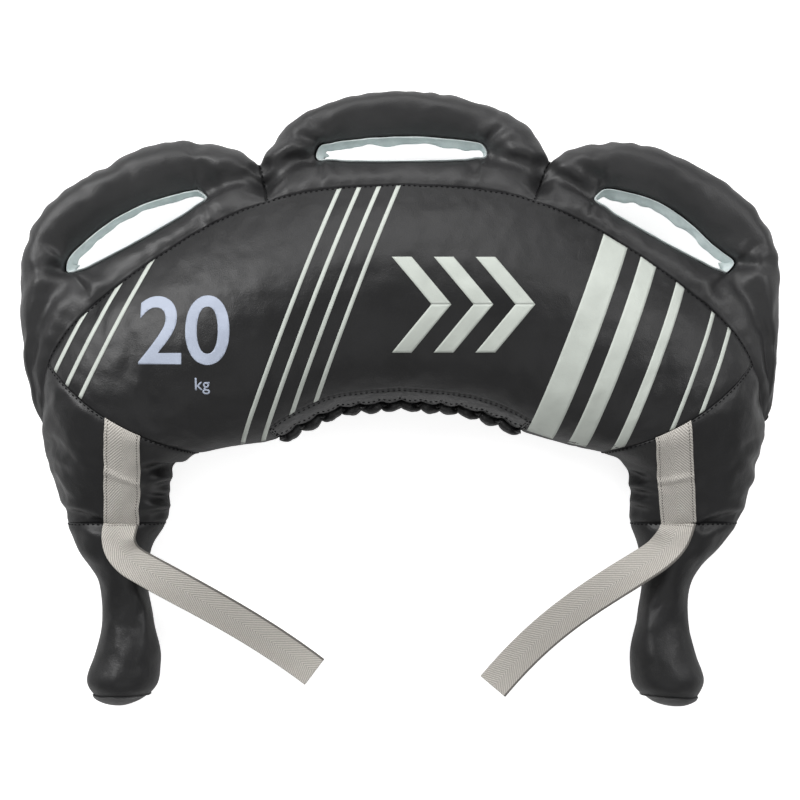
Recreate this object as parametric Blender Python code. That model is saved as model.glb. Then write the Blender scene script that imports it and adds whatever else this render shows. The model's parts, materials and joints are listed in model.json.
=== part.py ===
"""A bulgarian bag: a filled crescent with three padded hand slots, two grips and two webbing straps.

The bag lies on its back. X runs from grip to grip, Y from the grips to the middle handle, Z up.
The cover is drawn once, as the closed surface of the filled bag, on a net of stations and rows.
A station is a line across the crescent, from the neck to the outer seam, and on to the crest of a
handle. Every panel is a piece of that net with the fabric's thickness, and every filling is what
lies inside the cover.
Sizes are in metres.
"""

import math

import bmesh
import bpy
import numpy as np

# Overall sizes
HALF_WIDTH = 0.341
HALF_HEIGHT = 0.278
CROWN_HEIGHT = 0.135

# Fabric, seams and fits
FABRIC = 0.0015
LINING = 0.001
SEAM_GAP = 0.0003
NECK_BAND_WIDTH = 0.018

# Heights of the seams above the floor
NECK_EDGE_HEIGHT = 0.058
FRONT_SEAM_HEIGHT = 0.095
BACK_SEAM_HEIGHT = 0.014
CREST_HEIGHT = 0.050
TAIL_HEIGHT = 0.046
HANDLE_TOP = 0.086
HANDLE_BOTTOM = 0.020
BACK_CORNER = 0.045

# Hand slots
SLOT_WIDTH = 0.022
MIDDLE_SLOT_LENGTH = 0.147
SIDE_SLOT_LENGTH = 0.138
SIDE_SLOT_ANGLE = math.radians(-28.5)
MIDDLE_SLOT_PLACE_SHARES = (0.0, 0.797)
SIDE_SLOT_PLACE_SHARES = (0.692, 0.541)
SLOT_EDGE_DIP = 0.009
SLOT_DIP_REACH = 0.018
SLIT_BLEND = 0.035
VALLEY_DIP = 0.013
VALLEY_REACH = 0.012
CREST_POWER = 2.6

# Grips
WAIST_WIDTH = 0.092
GRIP_WIDTH = 0.049
BULB_WIDTH = 0.067
GRIP_END_WIDTH = 0.052
GRIP_END_DOME = 0.008
GRIP_END_RING_SHARE = 0.62
GRIP_END_RING_RISE_SHARE = 0.75

# Webbing straps
STRAP_WIDTH = 0.030
STRAP_THICKNESS = 0.0016
STRAP_LIFT = 0.0005
TAIL_END_HEIGHT = 0.0004
TAIL_LENGTH = 0.226
TAIL_BEND_LENGTH = 0.045
TAIL_FLAT_LEAD = 0.012
TAIL_DROP_POWER = 1.15
LEFT_TAIL_ANGLE = math.radians(59.0)
LEFT_TAIL_END_ANGLE = math.radians(51.0)
RIGHT_TAIL_ANGLE = math.radians(57.5)
RIGHT_TAIL_END_ANGLE = math.radians(42.5)

# Gathered hem at the neck
HEM_WIDTH = 0.0065
HEM_WAVE = 0.003
HEM_FOLDS = 14
HEM_STEPS_PER_FOLD = 6
HEM_SPAN_SHARE = 0.98

# Outlines of one half, as shares of the half width and the half height
OUTER_SEAM_SHARES = (
    (0.0, 0.683), (0.176, 0.671), (0.323, 0.637), (0.484, 0.558), (0.636, 0.446),
    (0.768, 0.324), (0.868, 0.209), (0.921, 0.101), (0.944, -0.029), (0.956, -0.115), (0.930, -0.252),
)
NECK_EDGE_SHARES = (
    (0.0, -0.011), (0.106, -0.022), (0.176, -0.036), (0.264, -0.079), (0.328, -0.119),
    (0.434, -0.147), (0.540, -0.176), (0.587, -0.205), (0.603, -0.270),
)
MIDDLE_CREST_SHARES = ((0.0, 1.0), (0.132, 0.986), (0.252, 0.924), (0.331, 0.827), (0.370, 0.759))
SIDE_CREST_SHARES = (
    (0.370, 0.759), (0.440, 0.813), (0.607, 0.838), (0.765, 0.770), (0.924, 0.640),
    (0.991, 0.496), (1.0, 0.342), (0.991, 0.144), (0.974, 0.0),
)
WAIST_PLACE_SHARES = (0.745, -0.396)
GRIP_LINE_SHARES = (
    (0.736, -0.486), (0.713, -0.594), (0.699, -0.719), (0.699, -0.820), (0.715, -0.903), (0.718, -0.971),
)

# Stations where something begins or ends, as shares of the outer seam from the middle to the waist
VALLEY_SHARE = 0.232
NECK_END_SHARE = 0.43
PANEL_END_SHARE = 0.708
TAIL_END_SHARE = 0.828
PADDING_END_SHARE = 0.70
MIDDLE_SLOT_SHARE = 0.0
SIDE_SLOT_SHARE = 0.45
SLOT_SPREAD_SHARE = 0.93
SLIT_SHARE = 0.42
PANEL_BOW = 0.013

# Heights along the crescent, as (station, share) pairs
CROWN_SHARES = ((0.0, 1.0), (0.3, 0.995), (0.5, 0.965), (0.708, 0.87), (0.86, 0.68))
FRONT_SEAM_SHARES = ((0.0, 1.0), (0.5, 0.98), (0.63, 0.93), (0.73, 0.78))
BACK_SEAM_SHARES = ((0.0, 1.0), (0.55, 1.0), (0.68, 1.35), (0.76, 2.1))
NECK_HEIGHT_SHARES = ((0.0, 1.0), (0.5, 0.97), (0.75, 0.82))

# Where the grip has each width, as shares of its length from the waist
GRIP_WIDTH_PLACE_SHARES = (0.0, 0.16, 0.36, 0.57, 0.74, 0.89, 1.0)
WAIST_TAPER_SHARE = 0.47
BULB_SWELL_SHARE = 0.52

# The middle of the strap on the end panel, as shares of the way from the neck edge to the outer seam
STRAP_TOP_SHARE = 0.38
STRAP_WAIST_SHARE = 0.44

# Fineness of the net
STATION_PITCH = 0.024
SLOT_END_STEPS = 2
MAIN_ROWS = 7
BAND_ROWS = 2
HANDLE_ROWS = 4
LINING_ROWS = 1
CURVE_STEPS = 24
EDGE_ROW_SHARE = 0.1
STITCH_ROW_SHARE = 0.3
MITRE_LIMIT = 2.5
SURFACE_STEP_SHARE = 0.001
STRAP_STEPS = 10
STRAP_COLUMNS = 4
TAIL_STEPS = 26

BLACK = (0.035, 0.035, 0.038, 1.0)
BLACK_GRIP = (0.030, 0.030, 0.032, 1.0)
PALE_LINING = (0.55, 0.60, 0.59, 1.0)
WEBBING_GREY = (0.42, 0.39, 0.36, 1.0)
FOAM_GREY = (0.30, 0.30, 0.32, 1.0)
SACK_TAN = (0.45, 0.38, 0.27, 1.0)

NEARLY_ONE = 1.0001
SIDES = {"left": -1.0, "right": 1.0}


# Curves

def spline(points):
    """Return a smooth curve through the points, as a dense array of points."""
    points = np.array(points, dtype=float)
    ends = np.vstack([2 * points[0] - points[1], points, 2 * points[-1] - points[-2]])
    dense = []
    for before, start, end, after in zip(ends[:-3], ends[1:-2], ends[2:-1], ends[3:]):
        t = np.linspace(0.0, 1.0, CURVE_STEPS, endpoint=False)[:, None]
        bend = 2 * before - 5 * start + 4 * end - after
        twist = 3 * start - before - 3 * end + after
        dense.append(0.5 * (2 * start + (end - before) * t + bend * t**2 + twist * t**3))
    dense.append(points[-1:])
    return np.vstack(dense)


def point_along(curve, share):
    """Return the point at a share of a curve's length."""
    steps = np.linalg.norm(np.diff(curve, axis=0), axis=1)
    reach = np.concatenate([[0.0], np.cumsum(steps)])
    at = np.clip(share, 0.0, 1.0) * reach[-1]
    return np.array([np.interp(at, reach, curve[:, axis]) for axis in range(curve.shape[1])])


def value_along(pairs, station):
    """Return a smooth value at a station, from (station, value) pairs."""
    curve = spline(pairs)
    return float(np.interp(station, curve[:, 0], curve[:, 1]))


def mix(a, b, share):
    return a + (b - a) * share


def ease(x):
    x = min(max(x, 0.0), 1.0)
    return x * x * (3.0 - 2.0 * x)


def sized(shares):
    """Turn outline shares into points in metres."""
    return [(x * HALF_WIDTH, y * HALF_HEIGHT) for x, y in shares]


# Plan of the bag: half outlines, drawn on the right and mirrored to the left

WAIST = np.array(sized([WAIST_PLACE_SHARES])[0])
WAIST_OUTER = WAIST + np.array([WAIST_WIDTH / 2, 0.0])
WAIST_INNER = WAIST - np.array([WAIST_WIDTH / 2, 0.0])
GRIP_AXIS_HEIGHT = BULB_WIDTH / 2

OUTER_SEAM = spline(sized(OUTER_SEAM_SHARES) + [tuple(WAIST_OUTER)])
NECK_EDGE = spline(sized(NECK_EDGE_SHARES) + [tuple(WAIST_INNER)])
MIDDLE_CREST = spline(sized(MIDDLE_CREST_SHARES))
TAIL_END = point_along(OUTER_SEAM, TAIL_END_SHARE)
SIDE_CREST = spline(sized(SIDE_CREST_SHARES) + [tuple(TAIL_END)])
GRIP_LINE = spline([tuple(WAIST)] + sized(GRIP_LINE_SHARES))
SEAM_LENGTH = float(np.sum(np.linalg.norm(np.diff(OUTER_SEAM, axis=0), axis=1)))
GRIP_LENGTH = float(np.sum(np.linalg.norm(np.diff(GRIP_LINE, axis=0), axis=1)))


def grip_width(share):
    """Return the grip's width at a share of its length from the waist."""
    widths = (
        WAIST_WIDTH, mix(GRIP_WIDTH, WAIST_WIDTH, WAIST_TAPER_SHARE), GRIP_WIDTH, GRIP_WIDTH,
        mix(GRIP_WIDTH, BULB_WIDTH, BULB_SWELL_SHARE), BULB_WIDTH, GRIP_END_WIDTH,
    )
    return value_along(list(zip(GRIP_WIDTH_PLACE_SHARES, widths)), share)


def cross_line(station):
    """Return the neck end and the outer end of a station line in plan, for a station from 0 to 2."""
    if station <= 1.0:
        return point_along(NECK_EDGE, station), point_along(OUTER_SEAM, station)
    share = station - 1.0
    middle = point_along(GRIP_LINE, share)
    half = np.array([grip_width(share) / 2, 0.0])
    return middle - half, middle + half


def crest_point(station):
    """Return the handle's crest in plan."""
    if station <= VALLEY_SHARE:
        return point_along(MIDDLE_CREST, station / VALLEY_SHARE)
    return point_along(SIDE_CREST, (station - VALLEY_SHARE) / (TAIL_END_SHARE - VALLEY_SHARE))


def plan_point(station, share):
    """Return the plan point at a share of a station line, which bows near the end panels."""
    inner, outer = cross_line(station)
    bow = PANEL_BOW * ease(station / PANEL_END_SHARE) * ease((1.0 - station) / (1.0 - PANEL_END_SHARE))
    along = (outer - inner) / np.linalg.norm(outer - inner)
    across = np.array([along[1], -along[0]])
    return mix(inner, outer, share) + across * bow * 4.0 * share * (1.0 - share)


# Heights of the filled bag

def crown_height(station):
    if station > 1.0:
        return GRIP_AXIS_HEIGHT + min(grip_width(station - 1.0) / 2, GRIP_AXIS_HEIGHT)
    pairs = [(place, share * CROWN_HEIGHT) for place, share in CROWN_SHARES]
    return value_along(pairs + [(1.0, 2 * GRIP_AXIS_HEIGHT)], station)


def floor_height(station):
    if station > 1.0:
        return GRIP_AXIS_HEIGHT - min(grip_width(station - 1.0) / 2, GRIP_AXIS_HEIGHT)
    return 0.0


def seam_height(station, shares, height):
    """Return a seam's height. It ends at the tail's height, and then at the grip's axis."""
    if station >= TAIL_END_SHARE:
        return mix(TAIL_HEIGHT, GRIP_AXIS_HEIGHT, ease((station - TAIL_END_SHARE) / (1.0 - TAIL_END_SHARE)))
    pairs = [(place, share * height) for place, share in shares]
    return value_along(pairs + [(TAIL_END_SHARE, TAIL_HEIGHT)], station)


def neck_height(station):
    pairs = [(place, share * NECK_EDGE_HEIGHT) for place, share in NECK_HEIGHT_SHARES]
    return value_along(pairs + [(1.0, GRIP_AXIS_HEIGHT)], min(station, 1.0))


def front_height(station, share):
    """Return the front's height: round at the neck, and a shallow slope at the outer seam."""
    base = mix(neck_height(station), seam_height(station, FRONT_SEAM_SHARES, FRONT_SEAM_HEIGHT), share)
    offset = abs(2.0 * share - 1.0)
    slope = mix(1.0, 0.5, ease((station - SIDE_SLOT_SHARE) / (TAIL_END_SHARE - SIDE_SLOT_SHARE)))
    power = 0.5 if share < 0.5 else slope
    return base + (crown_height(station) - base) * max(1.0 - offset * offset, 0.0) ** power


def back_height(station, share):
    """Return the back's height: flat on the floor, with rounded edges."""
    inner, outer = cross_line(station)
    length = np.linalg.norm(outer - inner)
    corner = min(BACK_CORNER, length / 2)
    base = mix(neck_height(station), seam_height(station, BACK_SEAM_SHARES, BACK_SEAM_HEIGHT), share)
    edge = max(1.0 - min(share, 1.0 - share) * length / corner, 0.0)
    floor = floor_height(station)
    return floor + (base - floor) * (1.0 - math.sqrt(1.0 - edge * edge))


# The handles

def slots():
    """Return each slot's middle station, half station reach, place, half length and angle."""
    middle = np.array(sized([MIDDLE_SLOT_PLACE_SHARES])[0])
    side = np.array(sized([SIDE_SLOT_PLACE_SHARES])[0])
    reach = SLOT_SPREAD_SHARE / SEAM_LENGTH
    return {
        "middle": (MIDDLE_SLOT_SHARE, MIDDLE_SLOT_LENGTH / 2 * reach, middle, MIDDLE_SLOT_LENGTH / 2, 0.0),
        "side": (SIDE_SLOT_SHARE, SIDE_SLOT_LENGTH / 2 * reach, side, SIDE_SLOT_LENGTH / 2, SIDE_SLOT_ANGLE),
    }


def slit_points(station):
    """Return the slot's lower and upper edge at a station, or the one slit point past the slot's ends."""
    which = "middle" if station <= VALLEY_SHARE else "side"
    middle_station, reach, place, half_length, angle = slots()[which]
    offset = (station - middle_station) / reach * half_length
    direction = np.array([math.cos(angle), math.sin(angle)])
    normal = np.array([-direction[1], direction[0]])
    centre = place + direction * offset
    inner, outer = cross_line(station)
    if abs(offset) < half_length:
        past = max(abs(offset) - (half_length - SLOT_WIDTH / 2), 0.0)
        half = math.sqrt(max((SLOT_WIDTH / 2) ** 2 - past * past, 0.0))
        return centre - normal * half, centre + normal * half
    way = ease((abs(offset) - half_length) / SLIT_BLEND)
    point = mix(centre, mix(outer, crest_point(station), SLIT_SHARE), way)
    return point, point


def slot_nearness(station):
    """Return 1 beside a slot, easing to 0 past its ends."""
    which = "middle" if station <= VALLEY_SHARE else "side"
    middle_station, reach, _, half_length, _ = slots()[which]
    past = (abs(station - middle_station) / reach - 1.0) * half_length
    return 1.0 - ease(past / SLOT_DIP_REACH)


def valley_depth(station):
    """Return how deep the crease between two handles is at a station."""
    offset = (station - VALLEY_SHARE) * SEAM_LENGTH / VALLEY_REACH
    return math.exp(-offset * offset)


def rim_heights(station, reach_share, edge_share):
    """Return the front and back height of a handle between its seam (0) and its crest (1)."""
    front_seam = seam_height(station, FRONT_SEAM_SHARES, FRONT_SEAM_HEIGHT)
    back_seam = seam_height(station, BACK_SEAM_SHARES, BACK_SEAM_HEIGHT)
    ends = ease((station - PADDING_END_SHARE) / (TAIL_END_SHARE - PADDING_END_SHARE))
    crest = mix(CREST_HEIGHT, TAIL_HEIGHT, ends)
    top = mix(min(HANDLE_TOP, front_seam), front_seam, ends)
    bottom = mix(max(HANDLE_BOTTOM, back_seam), back_seam, ends)
    rise = ease(reach_share / SLIT_SHARE)
    cap = math.sqrt(max(1.0 - reach_share**CREST_POWER, 0.0))
    dip = SLOT_EDGE_DIP * edge_share**2 * slot_nearness(station)
    valley = VALLEY_DIP * valley_depth(station) * ease(reach_share / SLIT_SHARE) * cap
    front = crest + (mix(front_seam, top, rise) - crest) * cap - dip - valley
    back = crest - (crest - mix(back_seam, bottom, rise)) * cap + dip + valley
    return front, back


# The net

def main_rows(station):
    """Return the rows' shares of a station line: the neck band's rows, then rows that close up."""
    inner, outer = cross_line(station)
    edge = min(NECK_BAND_WIDTH / np.linalg.norm(outer - inner), EDGE_ROW_SHARE)
    rest = [mix(edge, 1.0, math.sin(math.pi / 2 * k / MAIN_ROWS)) for k in range(1, MAIN_ROWS + 1)]
    return [0.0, STITCH_ROW_SHARE * edge, edge] + rest


def station_list():
    """Return the stations of one half: every named station, and even steps between them."""
    named = [0.0, VALLEY_SHARE, NECK_END_SHARE, PADDING_END_SHARE, PANEL_END_SHARE, TAIL_END_SHARE, 1.0]
    for middle, reach, _, half_length, _ in slots().values():
        for step in range(SLOT_END_STEPS + 1):
            past = SLOT_WIDTH / 2 * (1.0 - math.sin(math.pi / 2 * step / SLOT_END_STEPS))
            offset = reach * (1.0 - past / half_length)
            named += [place for place in (middle - offset, middle + offset) if place > 0.0]
    named = sorted(set(named))
    stations = []
    for start, end in zip(named[:-1], named[1:]):
        count = max(1, math.ceil((end - start) * SEAM_LENGTH / STATION_PITCH))
        stations += [mix(start, end, k / count) for k in range(count)]
    count = math.ceil(GRIP_LENGTH / STATION_PITCH)
    return stations + [1.0 + k / count for k in range(count + 1)]


def half_stations():
    """Return the stations of both halves, from the left grip's end to the right grip's end."""
    half = station_list()
    return [-station for station in reversed(half[1:])] + half


class Net:
    """The cover's points and cells. A cell has corners, a panel's name, its side and its station."""

    def __init__(self):
        self.points = []
        self.cells = []
        self.twins = {}

    def add_pair(self, x, y, front, back):
        """Add a front point and the back point under it, and return the front point's number."""
        number = len(self.points)
        self.points += [(x, y, front), (x, y, back)]
        self.twins[number] = number + 1
        return number

    def add_point(self, point):
        self.points.append(tuple(point))
        return len(self.points) - 1

    def add_cell(self, corners, panel, side, station):
        self.cells.append((tuple(corners), panel, side, station))


def handle_name(station):
    if abs(station) < VALLEY_SHARE:
        return "centre"
    return "left" if station < 0 else "right"


def main_panel_names(station, row):
    """Return the front and back panel that a main cell belongs to."""
    side = "left" if station < 0 else "right"
    place = abs(station)
    if place > 1.0:
        return "grip_sleeve_" + side, "grip_sleeve_" + side
    if place > PANEL_END_SHARE:
        return "front_end_panel_" + side, "back_end_panel_" + side
    if place < NECK_END_SHARE and row < 2:
        return "neck_band", "back_panel"
    return "front_panel", "back_panel"


def add_main_points(net, stations):
    """Add the crescent's points, from the neck edge to the outer seam."""
    table = []
    for station in stations:
        place = abs(station)
        row = []
        for share in main_rows(place):
            x, y = plan_point(place, share)
            x = math.copysign(x, station)
            row.append(net.add_pair(x, y, front_height(place, share), back_height(place, share)))
        table.append(row)
    return table


def add_rim_points(net, stations):
    """Add the handles' points: rows from the seam to the slot, and from the slot to the crest."""
    table = []
    for station in stations:
        place = abs(station)
        seam = cross_line(place)[1]
        crest = crest_point(place)
        lower, upper = slit_points(place)
        full = max(np.linalg.norm(crest - seam), 1e-9)
        band = [(mix(seam, lower, k / BAND_ROWS), k / BAND_ROWS) for k in range(BAND_ROWS + 1)]
        turns = [math.sin(math.pi / 2 * k / HANDLE_ROWS) for k in range(HANDLE_ROWS + 1)]
        handle = [(mix(upper, crest, turn), 1.0 - turn) for turn in turns]
        row = []
        for index, (point, edge_share) in enumerate(band + handle):
            reach = min(np.linalg.norm(point - seam) / full, 1.0)
            if index == len(band + handle) - 1:
                reach = 1.0
            front, back = rim_heights(place, reach, edge_share)
            row.append(net.add_pair(math.copysign(point[0], station), point[1], front, back))
        table.append(row)
    return table


def add_sided_cells(net, table, column, row, panels, station):
    """Add the front cell between two stations and two rows, and the back cell under it."""
    corners = (table[column][row], table[column][row + 1], table[column + 1][row + 1], table[column + 1][row])
    net.add_cell(corners[::-1], panels[0], "front", station)
    net.add_cell([net.twins[corner] for corner in corners], panels[1], "back", station)


def add_lining_cells(net, table, first, last, name):
    """Add the tunnel between the front and back edge of one slot."""
    lower_row, upper_row = BAND_ROWS, BAND_ROWS + 1
    loop = [table[column][lower_row] for column in range(first, last + 1)]
    loop += [table[column][upper_row] for column in range(last - 1, first, -1)]
    rings = []
    for corner in loop:
        top = np.array(net.points[corner])
        bottom = np.array(net.points[net.twins[corner]])
        between = [net.add_point(mix(top, bottom, k / LINING_ROWS)) for k in range(1, LINING_ROWS)]
        rings.append([corner] + between + [net.twins[corner]])
    for ring, following in zip(rings, rings[1:] + rings[:1]):
        for k in range(LINING_ROWS):
            corners = (ring[k], following[k], following[k + 1], ring[k + 1])
            net.add_cell(corners, "slot_lining_" + name, "slot", 0.0)


def add_grip_end(net, row, side):
    """Close a grip with its slightly domed end."""
    loop = list(row) + [net.twins[corner] for corner in reversed(row[1:-1])]
    ring_points = np.array([net.points[corner] for corner in loop])
    middle = ring_points.mean(axis=0)
    dome = np.array([0.0, -GRIP_END_DOME, 0.0])
    rise = GRIP_END_RING_RISE_SHARE * dome
    inner = [net.add_point(mix(middle, point, GRIP_END_RING_SHARE) + rise) for point in ring_points]
    tip = net.add_point(middle + dome)
    for k in range(len(loop)):
        after = (k + 1) % len(loop)
        quad = (loop[k], loop[after], inner[after], inner[k])
        fan = (inner[k], inner[after], tip, tip)
        for corners in (quad, fan):
            net.add_cell(corners if side == "left" else corners[::-1], "grip_end_" + side, "end", 2.0)


def build_net():
    """Return the net of the whole cover."""
    net = Net()
    stations = half_stations()
    table = add_main_points(net, stations)
    for column in range(len(stations) - 1):
        middle = (stations[column] + stations[column + 1]) / 2
        for row in range(len(table[column]) - 1):
            add_sided_cells(net, table, column, row, main_panel_names(middle, row), middle)
    add_grip_end(net, table[0], "left")
    add_grip_end(net, table[-1], "right")

    rim_stations = [station for station in stations if abs(station) <= TAIL_END_SHARE]
    rim = add_rim_points(net, rim_stations)
    rim_rows = list(range(BAND_ROWS)) + list(range(BAND_ROWS + 1, BAND_ROWS + 1 + HANDLE_ROWS))
    for column in range(len(rim_stations) - 1):
        middle = (rim_stations[column] + rim_stations[column + 1]) / 2
        name = handle_name(middle)
        for row in rim_rows:
            add_sided_cells(net, rim, column, row, ("handle_front_" + name, "handle_back_" + name), middle)
    for name, ends in slot_columns(rim_stations).items():
        add_lining_cells(net, rim, ends[0], ends[1], name)
    return net


def slot_columns(stations):
    """Return the first and last column of each slot."""
    spans = {}
    for name, kind, sign in (("left", "side", -1.0), ("centre", "middle", 1.0), ("right", "side", 1.0)):
        middle, reach = slots()[kind][:2]
        limit = reach * NEARLY_ONE
        places = [index for index, station in enumerate(stations) if abs(station - sign * middle) <= limit]
        spans[name] = (places[0], places[-1])
    return spans


# The closed cover

class Cover:
    """The net with its doubled points joined, and the way out of the bag at every point."""

    def __init__(self, net):
        points = np.array(net.points)
        keys = np.round(points / HALF_WIDTH, 7)
        _, first, joined = np.unique(keys, axis=0, return_index=True, return_inverse=True)
        joined = joined.reshape(-1)
        self.points = points[first]
        self.twins = {int(joined[a]): int(joined[b]) for a, b in net.twins.items()}
        self.cells = []
        for corners, panel, side, station in net.cells:
            numbers = [int(joined[corner]) for corner in corners]
            if station < 0.0:
                numbers = numbers[1:] + numbers[:1]
            for triangle in ((numbers[0], numbers[1], numbers[2]), (numbers[0], numbers[2], numbers[3])):
                if len(set(triangle)) == 3:
                    self.cells.append((triangle, panel, side, station))
        self.outward = self.find_outward()

    def find_outward(self):
        """Return, for each point, the step that moves its faces outward by one."""
        mesh = bpy.data.meshes.new("cover")
        mesh.from_pydata([tuple(point) for point in self.points], [], [cell[0] for cell in self.cells])
        shape = bmesh.new()
        shape.from_mesh(mesh)
        shape.normal_update()
        factors = [min(vertex.calc_shell_factor(), MITRE_LIMIT) for vertex in shape.verts]
        steps = np.array([vertex.normal * factor for vertex, factor in zip(shape.verts, factors)])
        self.open_edges = sum(1 for edge in shape.edges if not edge.is_manifold)
        shape.free()
        bpy.data.meshes.remove(mesh)
        return steps

    def panel(self, name):
        """Return the triangles of one panel."""
        return [triangle for triangle, panel, side, station in self.cells if panel == name]

    def span(self, side, low, high, handles=False):
        """Return the triangles that one side shows between two stations, of the handles or of the rest."""
        return [
            triangle for triangle, panel, shown, station in self.cells
            if shown == side and low < station < high and panel.startswith("handle_") == handles
        ]


def boundary_edges(triangles):
    """Return the directed edges that only one of the triangles has."""
    edges = {(a, b) for triangle in triangles for a, b in zip(triangle, triangle[1:] + triangle[:1])}
    return [(a, b) for a, b in edges if (b, a) not in edges]


def seam_shifts(points, triangles, edges, distance):
    """Return the shift of each seam point that leaves an even gap along the seams."""
    normals = {}
    for triangle in triangles:
        a, b, c = (points[number] for number in triangle)
        normal = np.cross(b - a, c - a)
        for edge in zip(triangle, triangle[1:] + triangle[:1]):
            normals[edge] = normal / np.linalg.norm(normal)
    sides = {}
    for a, b in edges:
        along = points[b] - points[a]
        inward = np.cross(normals[(a, b)], along)
        inward = inward / np.linalg.norm(inward)
        sides.setdefault(a, []).append(inward)
        sides.setdefault(b, []).append(inward)
    shifts = {}
    for number, ways in sides.items():
        total = np.sum(ways, axis=0) / len(ways)
        shifts[number] = total * distance / max(float(np.dot(total, total)), 1.0 / MITRE_LIMIT**2)
    return shifts


def panel_solid(cover, name, thickness):
    """Return a panel as a closed sheet: its outer layer, its inner layer and its edges."""
    triangles = cover.panel(name)
    edges = boundary_edges(triangles)
    shifts = seam_shifts(cover.points, triangles, edges, SEAM_GAP / 2)
    numbers = sorted({number for triangle in triangles for number in triangle})
    place = {number: index for index, number in enumerate(numbers)}
    outer = np.array([cover.points[number] + shifts.get(number, 0.0) for number in numbers])
    inner = outer - np.array([cover.outward[number] for number in numbers]) * thickness
    count = len(numbers)
    faces = [tuple(place[number] for number in triangle) for triangle in triangles]
    faces += [tuple(place[number] + count for number in reversed(triangle)) for triangle in triangles]
    for a, b in edges:
        faces += split_wall((a, b), place[a], place[b], place[a] + count, place[b] + count)
    return np.vstack([outer, inner]), faces


def split_wall(edge, a, b, under_a, under_b):
    """Return the two triangles of a wall, cut the same way in the panels on both sides of a seam."""
    if edge[0] < edge[1]:
        return [(b, a, under_a), (b, under_a, under_b)]
    return [(b, a, under_b), (a, under_a, under_b)]


def filling_solid(cover, front_cells, back_cells, end_cells, depth):
    """Return what lies inside some cells of the cover, with upright walls where the cells end."""
    triangles = front_cells + back_cells + end_cells
    numbers = sorted({number for triangle in triangles for number in triangle})
    place = {number: index for index, number in enumerate(numbers)}
    points = np.array([cover.points[number] - cover.outward[number] * depth for number in numbers])
    walls = [(a, b) for a, b in boundary_edges(front_cells) if cover.twins.get(a, a) in place]
    open_edges = set(boundary_edges(triangles))
    walls = [(a, b) for a, b in walls if (a, b) in open_edges]
    flat = cover.points.copy()
    flat[:, 2] = 0.0
    spread = [cell for cell in front_cells if flat_area(flat, cell) > 0.0]
    shifts = seam_shifts(flat, spread, walls, SEAM_GAP / 2)
    for number, shift in shifts.items():
        points[place[number]] += shift
        twin = cover.twins.get(number, number)
        if twin != number:
            points[place[twin]] += shift
    faces = [tuple(place[number] for number in triangle) for triangle in triangles]
    for a, b in walls:
        corners = (place[b], place[a], place[cover.twins[a]], place[cover.twins[b]])
        faces.append(tuple(dict.fromkeys(corners)))
    return points, faces


def flat_area(points, triangle):
    a, b, c = (points[number] for number in triangle)
    return abs(float(np.cross(b - a, c - a)[2]))


# Straps and hem

def ribbon(middles, acrosses, ups, thickness):
    """Return a webbing strip as a closed solid, from its middle line, its half widths and its way up."""
    shares = np.linspace(-1.0, 1.0, STRAP_COLUMNS + 1)
    points = []
    for layer in (0.0, thickness):
        for middle, across, up in zip(middles, acrosses, ups):
            points += [middle + across * share + up * layer for share in shares]
    return np.array(points), ribbon_faces(len(middles), len(shares))


def ribbon_faces(rows, columns):
    """Return the faces of a strip whose points lie in two layers of rows and columns."""
    layer = rows * columns
    faces = []
    for i in range(rows - 1):
        for j in range(columns - 1):
            corner = i * columns + j
            quad = (corner, corner + 1, corner + columns + 1, corner + columns)
            faces += [quad, tuple(number + layer for number in reversed(quad))]
    edge = [j for j in range(columns)]
    edge += [i * columns + columns - 1 for i in range(1, rows)]
    edge += [(rows - 1) * columns + j for j in range(columns - 2, -1, -1)]
    edge += [i * columns for i in range(rows - 2, 0, -1)]
    for a, b in zip(edge, edge[1:] + edge[:1]):
        faces.append((b, a, a + layer, b + layer))
    return faces


def front_surface(station, share, sign):
    """Return a point on the front of the cover."""
    x, y = plan_point(station, share)
    return np.array([sign * x, y, front_height(station, share)])


def front_normal(station, share, sign):
    """Return the way out of the cover at a point on its front."""
    step = SURFACE_STEP_SHARE
    along = front_surface(station + step, share, sign) - front_surface(station - step, share, sign)
    across = front_surface(station, share + step, sign) - front_surface(station, share - step, sign)
    normal = np.cross(across, along) * sign
    normal = normal / np.linalg.norm(normal)
    return normal if normal[2] > 0.0 else -normal


def sewn_strap(sign):
    """Return the part of a strap that is stitched over the end panel, following its surface."""
    last = 1.0 - SEAM_GAP / 2 / SEAM_LENGTH
    layers = ([], [])
    for station in np.linspace(PANEL_END_SHARE + SEAM_GAP / SEAM_LENGTH, last, STRAP_STEPS + 1):
        way = (station - PANEL_END_SHARE) / (1.0 - PANEL_END_SHARE)
        middle = mix(STRAP_TOP_SHARE, STRAP_WAIST_SHARE, way)
        inner, outer = cross_line(station)
        half = STRAP_WIDTH / 2 / np.linalg.norm(outer - inner)
        for share in np.linspace(middle - half, middle + half, STRAP_COLUMNS + 1):
            point = front_surface(station, share, sign)
            steepness = front_normal(min(station, last - SURFACE_STEP_SHARE), share, sign)[2]
            layers[0].append(point + np.array([0.0, 0.0, STRAP_LIFT / steepness]))
            layers[1].append(point + np.array([0.0, 0.0, (STRAP_LIFT + STRAP_THICKNESS) / steepness]))
    return np.array(layers[0] + layers[1]), ribbon_faces(STRAP_STEPS + 1, STRAP_COLUMNS + 1)


def strap_root(sign):
    """Return the middle of the line where a free tail starts, level with the strap's highest corner."""
    x, y, _ = front_surface(1.0, STRAP_WAIST_SHARE, sign)
    last = sewn_strap(sign)[0][-(STRAP_COLUMNS + 1):]
    return np.array([x, y, last[:, 2].max()])


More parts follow.
